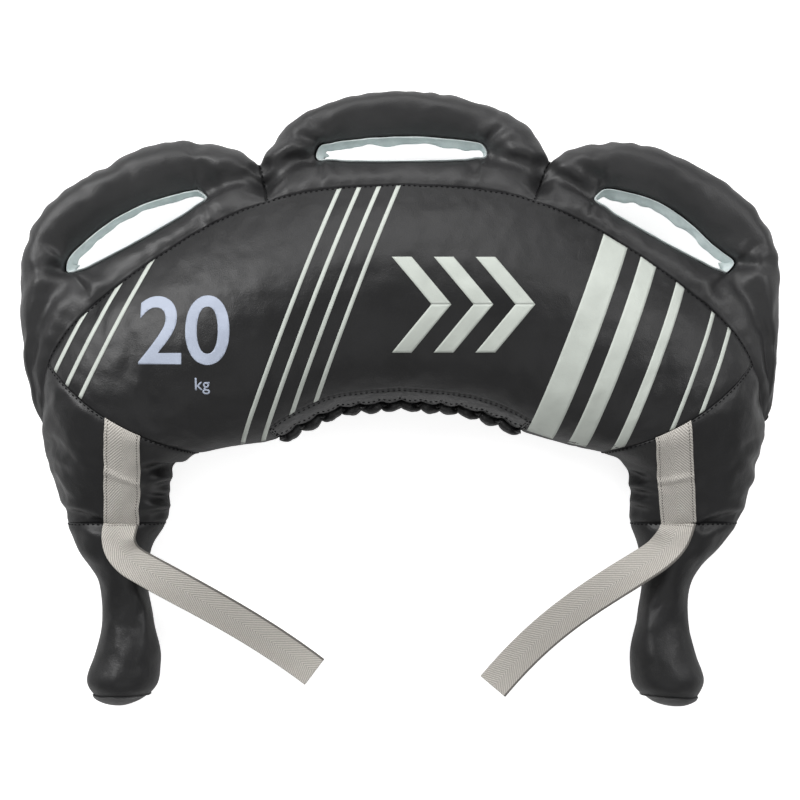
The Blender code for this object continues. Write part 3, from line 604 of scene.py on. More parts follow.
FOLDS = (
    Crease((-0.177, 0.181), (-0.122, 0.208), 0.0090, 0.0052),
    Crease((-0.170, 0.194), (-0.132, 0.217), 0.0050, 0.0042),
    Crease((-0.296, 0.117), (-0.336, 0.116), 0.0070, 0.0048),
    Crease((-0.291, 0.106), (-0.322, 0.078), 0.0030, 0.0050),
    Crease((-0.280, 0.098), (-0.312, 0.040), 0.0028, 0.0055),
    Crease((-0.300, 0.110), (-0.330, 0.088), 0.0026, 0.0040),
    Crease((0.175, 0.181), (0.126, 0.208), 0.0090, 0.0052),
    Crease((0.180, 0.195), (0.142, 0.217), 0.0050, 0.0042),
    Crease((0.296, 0.123), (0.335, 0.119), 0.0070, 0.0048),
    Crease((0.291, 0.108), (0.322, 0.082), 0.0030, 0.0050),
    Crease((0.280, 0.100), (0.312, 0.050), 0.0026, 0.0055),
    Crease((-0.072, 0.217), (-0.120, 0.208), 0.0090, 0.0052),
    Crease((-0.072, 0.228), (-0.106, 0.240), 0.0048, 0.0042),
    Crease((0.077, 0.217), (0.128, 0.208), 0.0090, 0.0052),
    Crease((0.078, 0.231), (0.104, 0.253), 0.0055, 0.0040),
    Crease((0.080, 0.223), (0.120, 0.231), 0.0052, 0.0038),
    Crease((-0.197, -0.060), (-0.230, -0.064), 0.0100, 0.0044),
    Crease((-0.198, -0.074), (-0.226, -0.080), 0.0090, 0.0042),
    Crease((-0.203, -0.088), (-0.232, -0.086), 0.0095, 0.0044),
    Crease((-0.210, -0.100), (-0.232, -0.106), 0.0034, 0.0040),
    Crease((0.200, -0.066), (0.226, -0.074), 0.0075, 0.0042),
    Crease((0.201, -0.082), (0.226, -0.086), 0.0065, 0.0040),
    Crease((0.206, -0.097), (0.228, -0.100), 0.0040, 0.0040),
    Crease((-0.312, -0.098), (-0.268, -0.106), 0.0040, 0.0040),
    Crease((-0.306, -0.106), (-0.276, -0.100), 0.0030, 0.0035),
    Crease((0.306, -0.104), (0.272, -0.106), 0.0034, 0.0040),
    Crease((-0.330, -0.055), (-0.300, -0.060), 0.0024, 0.0060),
    Crease((0.328, -0.060), (0.300, -0.052), 0.0024, 0.0060),
    Crease((-0.265, -0.112), (-0.296, -0.104), 0.0030, 0.0045),
    Crease((0.272, -0.112), (0.300, -0.106), 0.0030, 0.0045),
    Pucker((-0.176, 0.180), 0.030, 9, 0.0012),
    Pucker((-0.297, 0.116), 0.034, 9, 0.0013),
    Pucker((0.176, 0.180), 0.030, 9, 0.0012),
    Pucker((0.297, 0.121), 0.034, 9, 0.0013),
    Pucker((-0.071, 0.219), 0.028, 9, 0.0012),
    Pucker((0.077, 0.219), 0.028, 9, 0.0013),
)


@dataclass
class CoverNet:
    """The cover's points and quads before it is blown up, worked out from the crescent's formula."""

    shape: Crescent
    pitch: float = 0.0042
    main_rows: int = 40
    row_closing: float = 0.45
    neck_rows: int = 4
    neck_row_power: float = 1.5
    widest_band: float = 0.1
    band_rows: int = 7
    handle_rows: int = 12
    slot_end_steps: int = 4
    cap_rows: int = 8
    dome: float = 0.0100
    dome_power: float = 0.9
    hem_rolls: int = 12
    hem_unevenness: float = 0.55
    left_lean: float = -0.0085
    right_lean: float = -0.0010
    lean_start: float = -0.09
    lean_reach: float = 0.05
    join_distance: float = 2e-6

    def build(self) -> None:
        """Work out every grid, join their common points and note each quad's panel."""
        self.stations = self.both_halves(self.half_stations(2.0))
        self.rim_stations = self.both_halves(self.half_stations(self.shape.tail_end))
        grids = {}
        grids["front"], grids["back"] = self.main_grids()
        grids["rim_front"], grids["rim_back"] = self.rim_grids()
        grids["cap_left"] = self.cap_grid(grids["front"][0], grids["back"][0])
        grids["cap_right"] = self.cap_grid(grids["front"][-1], grids["back"][-1])
        points, quads, panels, numbers, first = [], [], [], {}, 0
        for name, grid in grids.items():
            faces, names = self.grid_panels(name, grid, first)
            count = grid.shape[0] * grid.shape[1]
            numbers[name] = first + np.arange(count).reshape(grid.shape[:2])
            points.append(grid.reshape(-1, 3))
            quads.append(faces)
            panels.append(names)
            first += count
        everything = self.settled(np.vstack(points))
        keys = np.round(everything / self.join_distance).astype(np.int64)
        _, kept, joined = np.unique(keys, axis=0, return_index=True, return_inverse=True)
        joined = joined.reshape(-1)
        self.points = everything[kept]
        self.quads = joined[np.vstack(quads)]
        self.panels = np.concatenate(panels)
        self.numbers = {name: joined[grid] for name, grid in numbers.items()}

    def half_stations(self, end: float) -> Array:
        """Return the stations of one half up to an end, with every named station among them."""
        shape = self.shape
        named = [0.0, shape.valley, shape.neck_end, shape.padding_end, shape.panel_end, shape.tail_end, 1.0]
        for middle, length, _, _ in shape.slots:
            turn = np.sin(math.pi / 2 * np.arange(self.slot_end_steps + 1) / self.slot_end_steps)
            reach = (length / 2 - shape.slot_width / 2 * (1.0 - turn)) * shape.slot_spread / shape.seam.length
            named += [float(at) for at in np.concatenate([middle - reach, middle + reach]) if at > 0.0]
        named = sorted(set(named))
        stations = []
        for start, stop in zip(named[:-1], named[1:]):
            count = max(1, math.ceil((stop - start) * shape.seam.length / self.pitch))
            stations.append(np.linspace(start, stop, count, endpoint=False))
        count = math.ceil(shape.grip_line.length / self.pitch)
        stations.append(np.linspace(1.0, 2.0, count + 1))
        every = np.concatenate(stations)
        return every[every <= end + 1e-9]

    def both_halves(self, half: Array) -> Array:
        """Return the stations of both halves, the left ones negative."""
        return np.concatenate([-half[:0:-1], half])

    def main_shares(self, place: Array) -> Array:
        """Return each station line's row shares: the neck band's rows, then rows that close up."""
        inner, outer = self.shape.cross_line(place)
        length = np.linalg.norm(outer - inner, axis=-1)
        edge = np.minimum(self.shape.band_width / length, self.widest_band)[:, None]
        neck = edge * (np.arange(self.neck_rows) / self.neck_rows)[None, :] ** self.neck_row_power
        u = np.arange(self.main_rows + 1) / self.main_rows
        spread = (1.0 - self.row_closing) * u + self.row_closing * np.sin(math.pi / 2 * u)
        return np.concatenate([neck, mix(edge, 1.0, spread[None, :])], axis=1)

    def main_grids(self) -> tuple[Array, Array]:
        """Return the front and the back of the crescent and the grips, as stations by rows."""
        place = np.abs(self.stations)
        shares = self.main_shares(place)
        wide = np.broadcast_to(place[:, None], shares.shape)
        plan = self.shape.plan_point(wide, shares)
        front = self.shape.front_height(wide, shares)
        back = self.shape.back_height(wide, shares)
        return self.two_faces(self.stations, plan, front, back)

    def two_faces(self, stations: Array, plan: Array, front: Array, back: Array) -> tuple[Array, Array]:
        """Return the points of both faces of a grid, with the plan turned over on the left."""
        x = plan[..., 0] * np.where(stations < 0.0, -1.0, 1.0)[:, None]
        return np.stack([x, plan[..., 1], front], axis=-1), np.stack([x, plan[..., 1], back], axis=-1)

    def rim_grids(self) -> tuple[Array, Array]:
        """Return the handles' front and back: rows from the seam to the slot, then on to the crest."""
        place = np.abs(self.rim_stations)
        seam = self.shape.cross_line(place)[1]
        crest = self.shape.crest(place)
        lower, upper = self.shape.slit_points(place)
        full = np.maximum(np.linalg.norm(crest - seam, axis=-1), 1e-9)[:, None]
        k = np.arange(self.band_rows + 1) / self.band_rows
        turn = np.sin(math.pi / 2 * np.arange(self.handle_rows + 1) / self.handle_rows)
        band = mix(seam[:, None], lower[:, None], k[None, :, None])
        handle = mix(upper[:, None], crest[:, None], turn[None, :, None])
        plan = np.concatenate([band, handle], axis=1)
        edge = np.broadcast_to(np.concatenate([k, 1.0 - turn]), plan.shape[:2])
        reach = np.minimum(np.linalg.norm(plan - seam[:, None], axis=-1) / full, 1.0)
        reach[:, -1] = 1.0
        wide = np.broadcast_to(place[:, None], reach.shape)
        front, back = self.shape.rim_heights(wide, reach, edge)
        back[:, -1] = front[:, -1]
        return self.two_faces(self.rim_stations, plan, front, back)

    def cap_grid(self, front: Array, back: Array) -> Array:
        """Return a grip's end: straight lines from its front to its back row, bulged along -Y."""
        v = np.linspace(0.0, 1.0, self.cap_rows + 1)[None, :, None]
        flat = mix(front[:, None], back[:, None], v)
        middle = (front + back).mean(axis=0) / 2
        radius = self.shape.grip_end_width / 2
        off = (flat - middle) / np.array([radius, 1.0, radius])
        round_off = np.maximum(1.0 - off[..., 0] ** 2 - off[..., 2] ** 2, 0.0)
        flat[..., 1] -= self.dome * round_off**self.dome_power
        flat[:, 0], flat[:, -1] = front, back
        flat[0], flat[-1] = front[0], front[-1]
        return flat

    def settled(self, points: Array) -> Array:
        """Return the points as the bag lies: each grip leans, and soft places have settled."""
        way = ease((self.lean_start - points[:, 1]) / self.lean_reach)
        shifted = points.copy()
        shifted[:, 0] += np.where(points[:, 0] < 0.0, self.left_lean, self.right_lean) * way
        for place in SETTLINGS + GAPES:
            shifted[:, :2] += place.move(points)
        return shifted

    def hem_phase(self, line: Array) -> Array:
        """Return the phase of the hem's rolls at points of the neck: pi from one pinch to the next."""
        half = float(self.shape.neck.at(np.array(self.shape.neck_end))[0])
        even = math.pi * self.hem_rolls * (line[:, 0] / half + 1.0) / 2
        return even + self.hem_unevenness * ripples(line * np.array([1.0, 0.0, 0.0]), 21, 0.06, 2)

    def grid_panels(self, name: str, grid: Array, first: int) -> tuple[Numbers, Numbers]:
        """Return a grid's outward quads, without those that bridge a slot, and their panels."""
        rows, columns = grid.shape[:2]
        quads = grid_faces(rows, columns, first)
        place, row = np.divmod(np.arange(len(quads)), columns - 1)
        if name.startswith("cap"):
            panel = Panel.GRIP_END_LEFT if name == "cap_left" else Panel.GRIP_END_RIGHT
            quads = quads if name == "cap_left" else quads[:, ::-1]
            return quads, np.full(len(quads), PANELS.index(panel))
        is_rim = name.startswith("rim")
        stations = self.rim_stations if is_rim else self.stations
        middle = (stations[place] + stations[place + 1]) / 2
        names = self.rim_panels(middle, name) if is_rim else self.main_panels(middle, row, name)
        if not name.endswith("back"):
            quads = quads[:, ::-1]
        kept = (row != self.band_rows) if is_rim else np.full(len(quads), True)
        return quads[kept], names[kept]

    def main_panels(self, middle: Array, row: Numbers, name: str) -> Numbers:
        """Return the panel of each quad of the crescent and the grips."""
        kinds = (Panel.FRONT, Panel.FRONT_END_LEFT, Panel.FRONT_END_RIGHT)
        if name == "back":
            kinds = (Panel.BACK, Panel.BACK_END_LEFT, Panel.BACK_END_RIGHT)
        body, left_end, right_end = [PANELS.index(kind) for kind in kinds]
        place, left = np.abs(middle), middle < 0.0
        end = np.where(left, left_end, right_end)
        grip = np.where(left, PANELS.index(Panel.GRIP_LEFT), PANELS.index(Panel.GRIP_RIGHT))
        names = np.where(place > 1.0, grip, np.where(place > self.shape.panel_end, end, body))
        neck = (name == "front") & (place < self.shape.neck_end) & (row < self.neck_rows)
        return np.where(neck, PANELS.index(Panel.NECK), names)

    def rim_panels(self, middle: Array, name: str) -> Numbers:
        """Return the panel of each quad of the handles."""
        kinds = (Panel.HANDLE_FRONT_LEFT, Panel.HANDLE_FRONT_CENTRE, Panel.HANDLE_FRONT_RIGHT)
        if name == "rim_back":
            kinds = (Panel.HANDLE_BACK_LEFT, Panel.HANDLE_BACK_CENTRE, Panel.HANDLE_BACK_RIGHT)
        left, centre, right = [PANELS.index(kind) for kind in kinds]
        side = np.where(middle < 0.0, left, right)
        return np.where(np.abs(middle) < self.shape.valley, centre, side)

    def seam_points(self) -> Flags:
        """Return which points lie on a seam, where panels meet, or on the edge of a slot."""
        low = np.full(len(self.points), len(PANELS))
        high = np.full(len(self.points), -1)
        corners = self.quads.reshape(-1)
        names = np.repeat(self.panels, 4)
        np.minimum.at(low, corners, names)
        np.maximum.at(high, corners, names)
        return (low != high) | self.slot_points()

    def slot_points(self) -> Flags:
        """Return which points lie on the edge of a slot."""
        found = np.full(len(self.points), False)
        for name in ("rim_front", "rim_back"):
            for column in (self.band_rows, self.band_rows + 1):
                numbers = self.numbers[name][:, column]
                other = self.numbers[name][:, 2 * self.band_rows + 1 - column]
                found[numbers[numbers != other]] = True
        return found


def clean_faces(quads: Numbers) -> list[tuple[int, ...]]:
    """Return faces without doubled corners: most stay quads, some become triangles."""
    doubled = (quads == np.roll(quads, -1, axis=1))
    faces = [tuple(quad) for quad in quads[~doubled.any(axis=1)].tolist()]
    for quad in quads[doubled.sum(axis=1) == 1].tolist():
        faces.append(tuple(dict.fromkeys(quad)))
    return faces


def face_panels(net: CoverNet) -> Numbers:
    """Return the panel of each face that clean_faces makes from the net's quads."""
    doubled = net.quads == np.roll(net.quads, -1, axis=1)
    whole = net.panels[~doubled.any(axis=1)]
    cut = net.panels[doubled.sum(axis=1) == 1]
    return np.concatenate([whole, cut])


def net_mesh(name: str, points: Array, net: CoverNet) -> bpy.types.Mesh:
    """Return a mesh with the net's faces over the points."""
    mesh = bpy.data.meshes.new(name)
    mesh.from_pydata(points.tolist(), [], clean_faces(net.quads))
    return mesh


# The cover, blown up and cut

GRIP_END_ROWS = (("front", 0), ("back", 0), ("front", -1), ("back", -1))


@dataclass
class Cover:
    """The bag's cover: the net blown up against its seams, refined, and cut into panels."""

    net: CoverNet
    pressure: float = 4.0
    spare_cloth: float = 0.05
    frames: int = 20
    smoothing: int = 3
    largest_move: float = 0.009
    usual_tightness: float = 0.62
    looseness: float = 0.75
    loose_reach: float = 0.03
    waist_looseness: float = 0.8
    waist_place: float = -0.112
    waist_reach: float = 0.016
    start_bumps: float = 0.0006
    bump_size: float = 0.045
    seam_depth: float = 0.0012
    end_seam_lift: float = 0.0002
    end_seam_place: float = -0.20
    crest_pitch: float = 0.021
    crest_notch: float = 0.0045
    crest_wander: float = 1.6
    seam_gather: float = 0.0016
    gather_pitch: float = 0.019
    gather_wander: float = 2.2
    wander_size: float = 0.09
    neck_notch: float = 0.0028
    unevenness: float = 0.0007
    fold_floor: float = 0.028
    fold_fade: float = 0.025
    fold_on_seam: float = 0.35
    thickness: float = 0.0012

    def build(self) -> None:
        """Make the net, blow it up, refine it and work out its folds."""
        self.net.build()
        self.seams = self.net.seam_points()
        self.held = self.seams.copy()
        for grid, row in GRIP_END_ROWS:
            self.held[self.net.numbers[grid][row]] = False
        coarse = self.make_mesh("cover_coarse")
        self.points = self.blown_up(coarse)
        bpy.data.objects.remove(coarse)
        self.refine()

    def make_mesh(self, name: str) -> Item:
        """Return the net as an object, with its seams sunk a little into the filling."""
        mesh = net_mesh(name, self.net.points, self.net)
        item = linked(name, mesh)
        normals = vertex_normals(mesh)
        bumps = self.start_bumps * ripples(self.net.points, 3, self.bump_size)
        step = np.where(self.seams, -self.seam_depth, bumps)
        self.gather_handles(step)
        self.gather_neck(step)
        for grid, row in GRIP_END_ROWS:
            step[self.net.numbers[grid][row]] = self.end_seam_lift
        self.net.points = self.net.points + normals * step[:, None]
        mesh.vertices.foreach_set("co", self.net.points.reshape(-1))
        return item

    def sink_rows(self, step: Array, grid: str, falls: dict[int, float], depth: Array) -> None:
        """Sink some rows of a grid by their shares of a depth that varies along them."""
        for row, fall in falls.items():
            step[self.net.numbers[grid][:, row]] -= fall * depth

    def gather_handles(self, step: Array) -> None:
        """Notch the crest of the handles, and gather the cloth beside their front seam.

        The notches are the sixth power of a sine along the crest, and the gathers are the square of
        a raised sine. Both waves wander, and the notches' depth is uneven.
        """
        crest = self.net.numbers["rim_front"][:, -1]
        line = self.net.points[crest]
        length = reach_along(line)
        wander = ripples(line, 5, self.wander_size, 2)
        wave = np.sin(math.pi * length / self.crest_pitch + self.crest_wander * wander)
        notch = self.crest_notch * wave**6 * np.clip(0.75 + 0.9 * wander, 0.15, 1.4)
        step[crest] = -self.seam_depth - notch
        for grid in ("rim_front", "rim_back"):
            self.sink_rows(step, grid, {-2: 0.8, -3: 0.5, -4: 0.25, -5: 0.1}, notch)
        wave = np.sin(2 * math.pi * length / self.gather_pitch + self.gather_wander * wander)
        gather = self.seam_gather * (0.5 + 0.5 * wave) ** 2
        self.sink_rows(step, "rim_front", {1: 1.0, 2: 0.7, 3: 0.3}, gather)

    def gather_neck(self, step: Array) -> None:
        """Pinch the neck's edge where two of the hem's rolls meet."""
        edge = self.net.numbers["front"][:, 0]
        inside = np.abs(self.net.stations) < self.net.shape.neck_end
        swell = np.abs(np.sin(self.net.hem_phase(self.net.points[edge])))
        pinch = np.where(inside, self.neck_notch * (1.0 - swell) ** 1.5, 0.0)
        self.sink_rows(step, "front", {0: 1.0, 1: 0.8, 2: 0.45}, pinch)
        self.sink_rows(step, "back", {1: 0.6, 2: 0.3}, pinch)

    def blown_up(self, item: Item) -> Array:
        """Return the points after a cloth simulation with a little spare cloth.

        The seams are pinned, but for those round the grips' soft ends.
        """
        group = item.vertex_groups.new(name="pinned")
        group.add(np.flatnonzero(self.held).tolist(), 1.0, "REPLACE")
        cloth = item.modifiers.new("blow_up", "CLOTH")
        set_values(
            cloth.settings, quality=4, mass=0.25, tension_stiffness=30.0, compression_stiffness=12.0,
            shear_stiffness=12.0, bending_stiffness=0.8, air_damping=3.0, use_pressure=True,
            uniform_pressure_force=self.pressure, shrink_min=-self.spare_cloth,
        )
        cloth.settings.effector_weights.gravity = 0.0
        cloth.settings.vertex_group_mass = group.name
        cloth.settings.shrink_max = 0.0
        cloth.settings.vertex_group_shrink = self.tight_group(item).name
        cloth.collision_settings.use_collision = False
        cloth.point_cache.frame_start = 1
        cloth.point_cache.frame_end = self.frames
        modify(
            item, "even", "SMOOTH", factor=0.5, iterations=self.smoothing, vertex_group=group.name,
            invert_vertex_group=True,
        )
        for number in range(1, self.frames + 1):
            bpy.context.scene.frame_set(number)
        points = read_points(solved(item))
        bpy.context.scene.frame_set(1)
        move = points - self.net.points
        length = np.linalg.norm(move, axis=1, keepdims=True)
        log.info("cover: cloth moved at most %.1f mm", float(length.max()) / MM)
        points = self.net.points + move * np.minimum(1.0, self.largest_move / np.maximum(length, 1e-9))
        points[:, 2] = np.maximum(points[:, 2], FLOOR_GAP)
        return points

    def tight_group(self, item: Item) -> bpy.types.VertexGroup:
        """Return a group that is strong where the cloth is cut tight, and weak near the puckered places.

        A panel has its own share of tight cloth, which falls off round the folds' starts and at the
        waist. The strengths are rounded to tenths.
        """
        shares = {
            Panel.FRONT: 0.88, Panel.NECK: 0.7, Panel.BACK: 0.7,
            Panel.GRIP_END_LEFT: 1.0, Panel.GRIP_END_RIGHT: 1.0,
            Panel.GRIP_LEFT: 1.0, Panel.GRIP_RIGHT: 1.0,
        }
        tightness = np.ones(len(self.net.points))
        for panel in Panel:
            corners = np.unique(self.net.quads[self.net.panels == PANELS.index(panel)])
            tightness[corners] = shares.get(panel, self.usual_tightness)
        loose = np.zeros(len(self.net.points))
        for fold in FOLDS:
            at = np.array(fold.at if isinstance(fold, Pucker) else fold.start)
            distance = np.linalg.norm(self.net.points[:, :2] - at, axis=-1)
            loose = np.maximum(loose, hill(distance, self.loose_reach))
        waist = hill(self.net.points[:, 1] - self.waist_place, self.waist_reach)
        loose = np.maximum(loose, self.waist_looseness * waist)
        tightness = tightness * (1.0 - self.looseness * loose)
        tight = item.vertex_groups.new(name="tight")
        level = np.round(tightness * 10.0).astype(int)
        for step in range(11):
            tight.add(np.flatnonzero(level == step).tolist(), step / 10.0, "REPLACE")
        return tight

    def folded(self) -> Array:
        """Return how far the folds sink each point: all of it on top, less on a seam, none below."""
        depth = np.zeros(len(self.points))
        for fold in FOLDS:
            depth += fold.sink(self.points)
        depth += self.unevenness * ripples(self.points * np.array([1.0, 1.0, 0.6]), 31, 0.030, 2)
        top = ease((self.points[:, 2] - self.fold_floor) / self.fold_fade)
        return depth * top * np.where(self.seams, self.fold_on_seam, 1.0)

    def refine(self) -> None:
        """Split every quad once with Catmull-Clark's rule, which rounds the cloth's folds."""
        mesh = net_mesh("cover_fine", self.points, self.net)
        mesh.update()
        self.points = self.points - vertex_normals(mesh) * self.folded()[:, None]
        self.points[:, 2] = np.maximum(self.points[:, 2], FLOOR_GAP)
        mesh.vertices.foreach_set("co", self.points.reshape(-1))
        panels = face_panels(self.net)
        attribute = mesh.attributes.new("panel", "INT", "FACE")
        attribute.data.foreach_set("value", panels.astype(np.int32))
        item = linked("cover_fine", mesh)
        modify(item, "refine", "SUBSURF", levels=1, render_levels=1, boundary_smooth="PRESERVE_CORNERS")
        fine = solved(item)
        self.fine_points = read_points(fine)
        corners = np.zeros(len(fine.loops), np.int64)
        fine.loops.foreach_get("vertex_index", corners)
        self.fine_quads = corners.reshape(-1, 4)
        self.fine_panels = np.zeros(len(fine.polygons), np.int32)
        fine.attributes["panel"].data.foreach_get("value", self.fine_panels)
        bpy.data.objects.remove(item)

    def seam_line(self, sign: float) -> Array:
        """Return the front seam of an end panel as points in rising X."""
        at = int(np.argmin(np.abs(self.net.stations - sign * self.net.shape.panel_end)))
        line = self.points[self.net.numbers["front"][at]]
        return line[np.argsort(line[:, 0])]

    def cut(self, panel: Panel) -> Item:
        """Return one panel as its own object with the fabric's thickness inward."""
        quads = self.fine_quads[self.fine_panels == PANELS.index(panel)]
        numbers, places = np.unique(quads, return_inverse=True)
        item = new_object(panel.value + "_cloth", self.fine_points[numbers], places.reshape(-1, 4))
        self.mark_end_seam(item.data)
        modify(item, "thickness", "SOLIDIFY", thickness=self.thickness, offset=-1.0)
        return item

    def mark_end_seam(self, mesh: bpy.types.Mesh) -> None:
        """Mark a grip's end seam as sharp, so that the cut edge's thickness doesn't shade the outside."""
        edges = np.zeros(len(mesh.loops), np.int32)
        mesh.loops.foreach_get("edge_index", edges)
        ends = np.zeros(len(mesh.edges) * 2, np.int32)
        mesh.edges.foreach_get("vertices", ends)
        height = read_points(mesh)[ends.reshape(-1, 2), 1].max(axis=1)
        is_open = np.bincount(edges, minlength=len(mesh.edges)) == 1
        sharp = mesh.attributes.new("sharp_edge", "BOOLEAN", "EDGE")
        sharp.data.foreach_set("value", is_open & (height < self.end_seam_place))


# Pieces laid on the cover

@dataclass
class Surface:
    """The finished cover as a surface that other pieces are laid on."""

    cover: Cover

    def __post_init__(self) -> None:
        """Keep the fine cover as a target, and as a search tree for the stitches."""
        self.target = new_object("cover_target", self.cover.fine_points, self.cover.fine_quads)
        faces = self.cover.fine_quads.tolist()
        self.tree = BVHTree.FromPolygons(self.cover.fine_points.tolist(), faces)

    def clear(self) -> None:
        """Take the target away again."""
        bpy.data.objects.remove(self.target)

    def snap(self, points: Array) -> tuple[Array, Array]:
        """Return the places on the cover nearest to the points, and the ways out of it there."""
        found = [self.tree.find_nearest(mathutils.Vector(point)) for point in points.tolist()]
        places = np.array([tuple(hit[0]) for hit in found])
        normals = np.array([tuple(hit[1]) for hit in found])
        return places, normals

    def drop(self, plan: Array) -> Array:
        """Return the highest points of the cover under plan points, or floor points beside it."""
        high = 0.5
        points = np.column_stack([plan[:, :2], np.full(len(plan), high)])
        probe = new_object("probe", points, [])
        modify(
            probe, "wrap", "SHRINKWRAP", wrap_method="PROJECT", use_project_z=True,
            use_positive_direction=False, use_negative_direction=True, target=self.target,
        )
        places = read_points(solved(probe))
        bpy.data.objects.remove(probe)
        places[:, 2] = np.where(places[:, 2] > high - MM, 0.0, places[:, 2])
        return places


def with_weave(item: Item, across: Array, along: Array) -> None:
    """Give a grid piece a UV map named weave, in metres across and along the cloth."""
    mesh = item.data
    corners = np.zeros(len(mesh.loops), np.int64)
    mesh.loops.foreach_get("vertex_index", corners)
    weave = mesh.uv_layers.new(name="weave")
    pairs = np.stack([across.reshape(-1)[corners], along.reshape(-1)[corners]], axis=-1)
    weave.data.foreach_set("uv", pairs.reshape(-1))


def smoothed(values: Array, rounds: int) -> Array:
    """Return a row-by-row smoothed grid: each inner row moves to the mean of its neighbours."""
    for _ in range(rounds):
        inner = (values[:-2] + 2.0 * values[1:-1] + values[2:]) / 4.0
        values = np.concatenate([values[:1], inner, values[-1:]])
    return values


def thickened(item: Item, thickness: float, bevel: float = 0.0) -> None:
    """Give an open sheet its thickness outward, and round its edges if it has a bevel."""
    modify(item, "thickness", "SOLIDIFY", thickness=thickness, offset=1.0)
    if bevel > 0.0:
        modify(item, "edge", "BEVEL", width=bevel, segments=2, limit_method="ANGLE")


@dataclass
class SewnStrap:
    """The part of a strap that is stitched down over the end panel."""

    cover: Cover
    surface: Surface
    sign: float
    top: Pair
    root: Pair
    width: float = 0.030
    thickness: float = 0.0015
    bevel: float = 0.0003
    head_gap: float = 0.0006
    gap: float = 0.0004
    crease: float = 0.52
    crease_lean: float = 0.03
    crease_reach: float = 0.035
    crease_height: float = 0.0024
    smoothing: int = 30
    rise_smoothing: int = 12
    rise_gain: float = 1.6
    waviness: float = 0.0005
    steps: int = 56
    columns: int = 16

    def build(self, name: str) -> Item:
        """Lay a grid of points straight from the end panel's seam to the waist.

        Each column starts on the seam, which slants across the strap, and ends on the root's line.
        The heights are the cover's own, smoothed along the strap, and never under the cover. One
        low fold crosses the strap, and its edges are a little wavy.
        """
        u = np.linspace(-1.0, 1.0, self.columns + 1)
        way = unit(np.array(self.root) - np.array(self.top))
        side = np.array([-way[1], way[0]])
        across = side * (u * self.width / 2)[:, None]
        foot, head = np.array(self.root) + across, np.array(self.top) + across
        seam = self.cover.seam_line(self.sign)
        head[:, 1] = np.interp(head[:, 0], seam[:, 0], seam[:, 1]) + self.head_gap
        v = np.linspace(0.0, 1.0, self.steps + 1)[:, None, None]
        plan = mix(head[None], foot[None], v)
        places = self.surface.drop(plan.reshape(-1, 2)).reshape(*plan.shape[:2], 3)
        low = places[..., 2].copy()
        high = smoothed(low, self.smoothing)
        rise = smoothed(np.maximum(low - high, 0.0), self.rise_smoothing) * self.rise_gain
        past = v[..., 0] - self.crease
        fold = hill(past - self.crease_lean * u, self.crease_reach) - 0.7 * hill(past - 0.045, 0.03)
        fold = self.crease_height * np.maximum(fold, 0.0)
        places[..., 2] = np.maximum(high + rise, low) + self.gap + fold
        places[..., 0] += self.waviness * ripples(places * np.array([0.3, 1.0, 0.0]), 41, 0.030, 2)
        item = new_object(name, places.reshape(-1, 3), grid_faces(*plan.shape[:2])[:, ::-1])
        along = reach_along(places.mean(axis=1))
        across = np.broadcast_to((u + 1.0) * self.width / 2, plan.shape[:2])
        with_weave(item, across, np.broadcast_to(along[:, None], plan.shape[:2]))
        self.length = float(along[-1])
        self.grid = places
        thickened(item, self.thickness, self.bevel)
        return item


